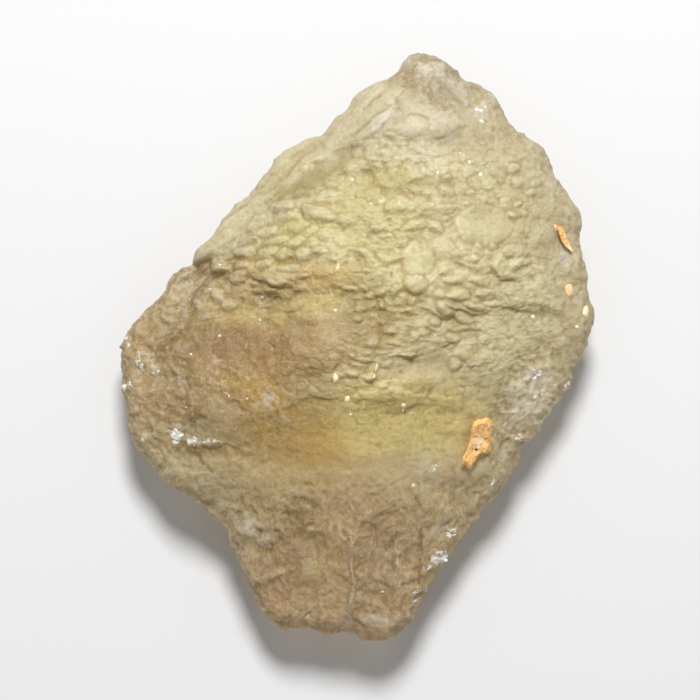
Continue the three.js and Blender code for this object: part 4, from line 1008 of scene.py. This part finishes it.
def sanded_piece(node, piece_name, coarse, fine, seed, pale_at, pale_half):
    """A grainy copy of a sand solid."""
    work = merged_copy(node)
    bmesh.ops.subdivide_edges(work, edges=work.edges, cuts=SAND_CUTS, use_grid_fill=True)
    bmesh.ops.triangulate(work, faces=[side for side in work.faces if len(side.verts) > 3])
    piece = finished_piece(work, piece_name)
    edges = mesh_edges(piece.data)
    points = wear_round(mesh_points(piece.data) / MM, edges, 1)
    piece.data.vertices.foreach_set("co", (points * MM).ravel())
    piece.data.update()
    outwards = mesh_points(piece.data, "normal")
    x, y, z = points.T
    up = np.clip(outwards[:, 2], 0, 1)
    hole = in_ellipse(x, y, (16.4, -14.0), (0.2, 0.16), soft=0.3)
    relief = up * (coarse * waviness(x, y, 0.9, seed) + fine * scales(x, y, (0.42, 0.36), seed + 1))
    relief += (1 - up) * fine * waviness(x + z, y - z, 0.4, seed + 2) - 0.05
    relief -= up * 0.6 * hole
    points += outwards * relief[:, None]
    piece.data.vertices.foreach_set("co", (points * MM).ravel())
    piece.data.update()
    pale = in_ellipse(x + 0.5 * clouds(x, y, 1.2, seed), y, pale_at, pale_half, soft=0.4)
    tint = np.tile(np.array(SAND_OCHRE), (len(points), 1))
    tint = mixed(tint, SAND_PALE, pale)
    tint = mixed(tint, SAND_BROWN, 0.4 * smooth_step(clouds(x, y, 0.9, seed + 3), 0.15, 0.5))
    # Painted shade: the hole in the crust is coloured near black for the shade inside it.
    tint = mixed(tint, HOLE_SHADE_DARK, hole)
    store_tint(piece.data, tint)
    return piece


def sand_colour(name):
    paint, tree, surface = new_paint(name)
    where = tree.nodes.new("ShaderNodeTexCoord")
    specks = fine_noise(tree, where, 0.25, detail=3)
    sand_tint = stored_value(tree, "tint")
    colour = tinted(tree, (sand_tint, "Color"), between(tree, specks, "Fac", 0.45, 0.34), SAND_BROWN, 0.7)
    colour = tinted(tree, colour, between(tree, specks, "Fac", 0.55, 0.66), (0.93, 0.68, 0.38), 0.7)
    tree.links.new(colour[0].outputs[colour[1]], surface.inputs["Base Color"])
    dull = between(tree, specks, "Fac", 0.3, 0.7, 0.75, 0.95)
    tree.links.new(dull[0].outputs[dull[1]], surface.inputs["Roughness"])
    return paint


baked_sand = sand_colour("baked_sand")
crust = sanded_piece("sand_crust", "baked_crust", 0.1, 0.2, 61, (16.7, -12.9), (0.7, 0.9))
crust.data.materials.append(baked_sand)
sliver = sanded_piece("sand_sliver", "baked_sliver", 0.1, 0.1, 64, (29.2, 13.6), (0.7, 0.6))
sliver.data.materials.append(baked_sand)

# Each grain: its middle, its half sizes, its turn and whether it is ochre.
GRAINS = [
    ((-2.8, -4.1), (0.42, 0.7), -10, False), ((-1.2, -7.0), (0.4, 0.55), 0, False),
    ((6.4, -8.0), (0.4, 0.5), 10, False), ((6.3, -8.5), (0.2, 0.35), 0, False),
    ((2.7, -2.7), (0.16, 0.6), -15, False), ((2.4, -3.9), (0.15, 0.4), -10, False),
    ((-2.5, 10.7), (0.22, 0.55), -20, False), ((31.5, 5.0), (0.45, 0.95), -10, False),
    ((24.1, 4.1), (0.35, 0.4), 0, False), ((30.3, 2.8), (0.3, 0.35), 0, False),
    ((29.2, 7.8), (0.7, 0.9), 0, True), ((7.8, -18.8), (0.4, 0.42), 0, True),
    ((27.4, 16.4), (0.25, 0.7), 20, True), ((3.6, -33.5), (0.25, 0.2), 0, False),
]
grain_work = {False: bmesh.new(), True: bmesh.new()}
lying = np.random.default_rng(71)
for at, (half_x, half_y), turn, ochre in GRAINS:
    seated_chip(grain_work[ochre], at, (half_x, half_y, 0.3), turn, lying, jagged=0.22)
for ochre, piece_name, tint in ((False, "cream_grains", (0.90, 0.76, 0.50)),
                                (True, "ochre_grains", (0.84, 0.56, 0.30))):
    bmesh.ops.scale(grain_work[ochre], vec=(MM, MM, MM), verts=grain_work[ochre].verts)
    grains = finished_piece(grain_work[ochre], piece_name)
    paint, tree, surface = new_paint(piece_name)
    where = tree.nodes.new("ShaderNodeTexCoord")
    colour = tinted(tree, None, between(tree, fine_noise(tree, where, 0.3), "Fac", 0.5, 0.36),
                    (0.55, 0.38, 0.18), 0.5)
    colour[0].inputs["A"].default_value = (*tint, 1)
    tree.links.new(colour[0].outputs[colour[1]], surface.inputs["Base Color"])
    surface.inputs["Roughness"].default_value = 0.85
    grains.data.materials.append(paint)
    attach(grains, "root")
for piece, node in ((crust, "sand_crust"), (sliver, "sand_sliver")):
    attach(piece, "root")
    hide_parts(node)


# The surface it lies on, the light and the camera
# A plain pale table under a wide soft light, with a brighter soft light from the pointed end. The
# camera looks straight down on the face.
PIXEL = 0.138 * MM
PICTURE = 700
RIM_HEIGHT = 8.5 * MM
CAMERA_HEIGHT = 0.45
AIM = Vector((-0.83 * MM, -0.35 * MM, 0))
TABLE_GAP = 0.2 * MM
TABLE_GREY = (0.68, 0.68, 0.685, 1)
SKY_STRENGTH = 0.365
KEY_WATTS = 6.2
SENSOR_WIDTH = 36

table_work = bmesh.new()
bmesh.ops.create_grid(table_work, x_segments=1, y_segments=1, size=1.5)
bmesh.ops.translate(table_work, verts=table_work.verts, vec=(0, 0, -TABLE_GAP))
table = finished_piece(table_work, "table")
table_paint, tree, surface = new_paint("table_paint")
surface.inputs["Base Color"].default_value = TABLE_GREY
surface.inputs["Roughness"].default_value = 0.9
table.data.materials.append(table_paint)

room = bpy.data.worlds.new("room")
room.use_nodes = True
room.node_tree.nodes["Background"].inputs["Color"].default_value = (1, 1, 1, 1)
room.node_tree.nodes["Background"].inputs["Strength"].default_value = SKY_STRENGTH
bpy.context.scene.world = room

key = bpy.data.lights.new("key", "AREA")
key.shape = "DISK"
key.size = 0.2
key.energy = KEY_WATTS
key_light = bpy.data.objects.new("key", key)
key_light.location = (0.02, 0.43, 0.57)
key_light.rotation_euler = (Vector((0, 0, 0)) - key_light.location).to_track_quat("-Z", "Y").to_euler()
bpy.context.scene.collection.objects.link(key_light)

lens = bpy.data.cameras.new("camera")
lens.sensor_width = SENSOR_WIDTH
lens.lens = SENSOR_WIDTH * CAMERA_HEIGHT / (PIXEL * PICTURE)
lens.clip_start = 0.01
lens.clip_end = 10
camera = bpy.data.objects.new("camera", lens)
camera.location = AIM + Vector((0, 0, RIM_HEIGHT + CAMERA_HEIGHT))
bpy.context.scene.collection.objects.link(camera)
bpy.context.scene.camera = camera
bpy.context.scene.view_settings.view_transform = "Standard"
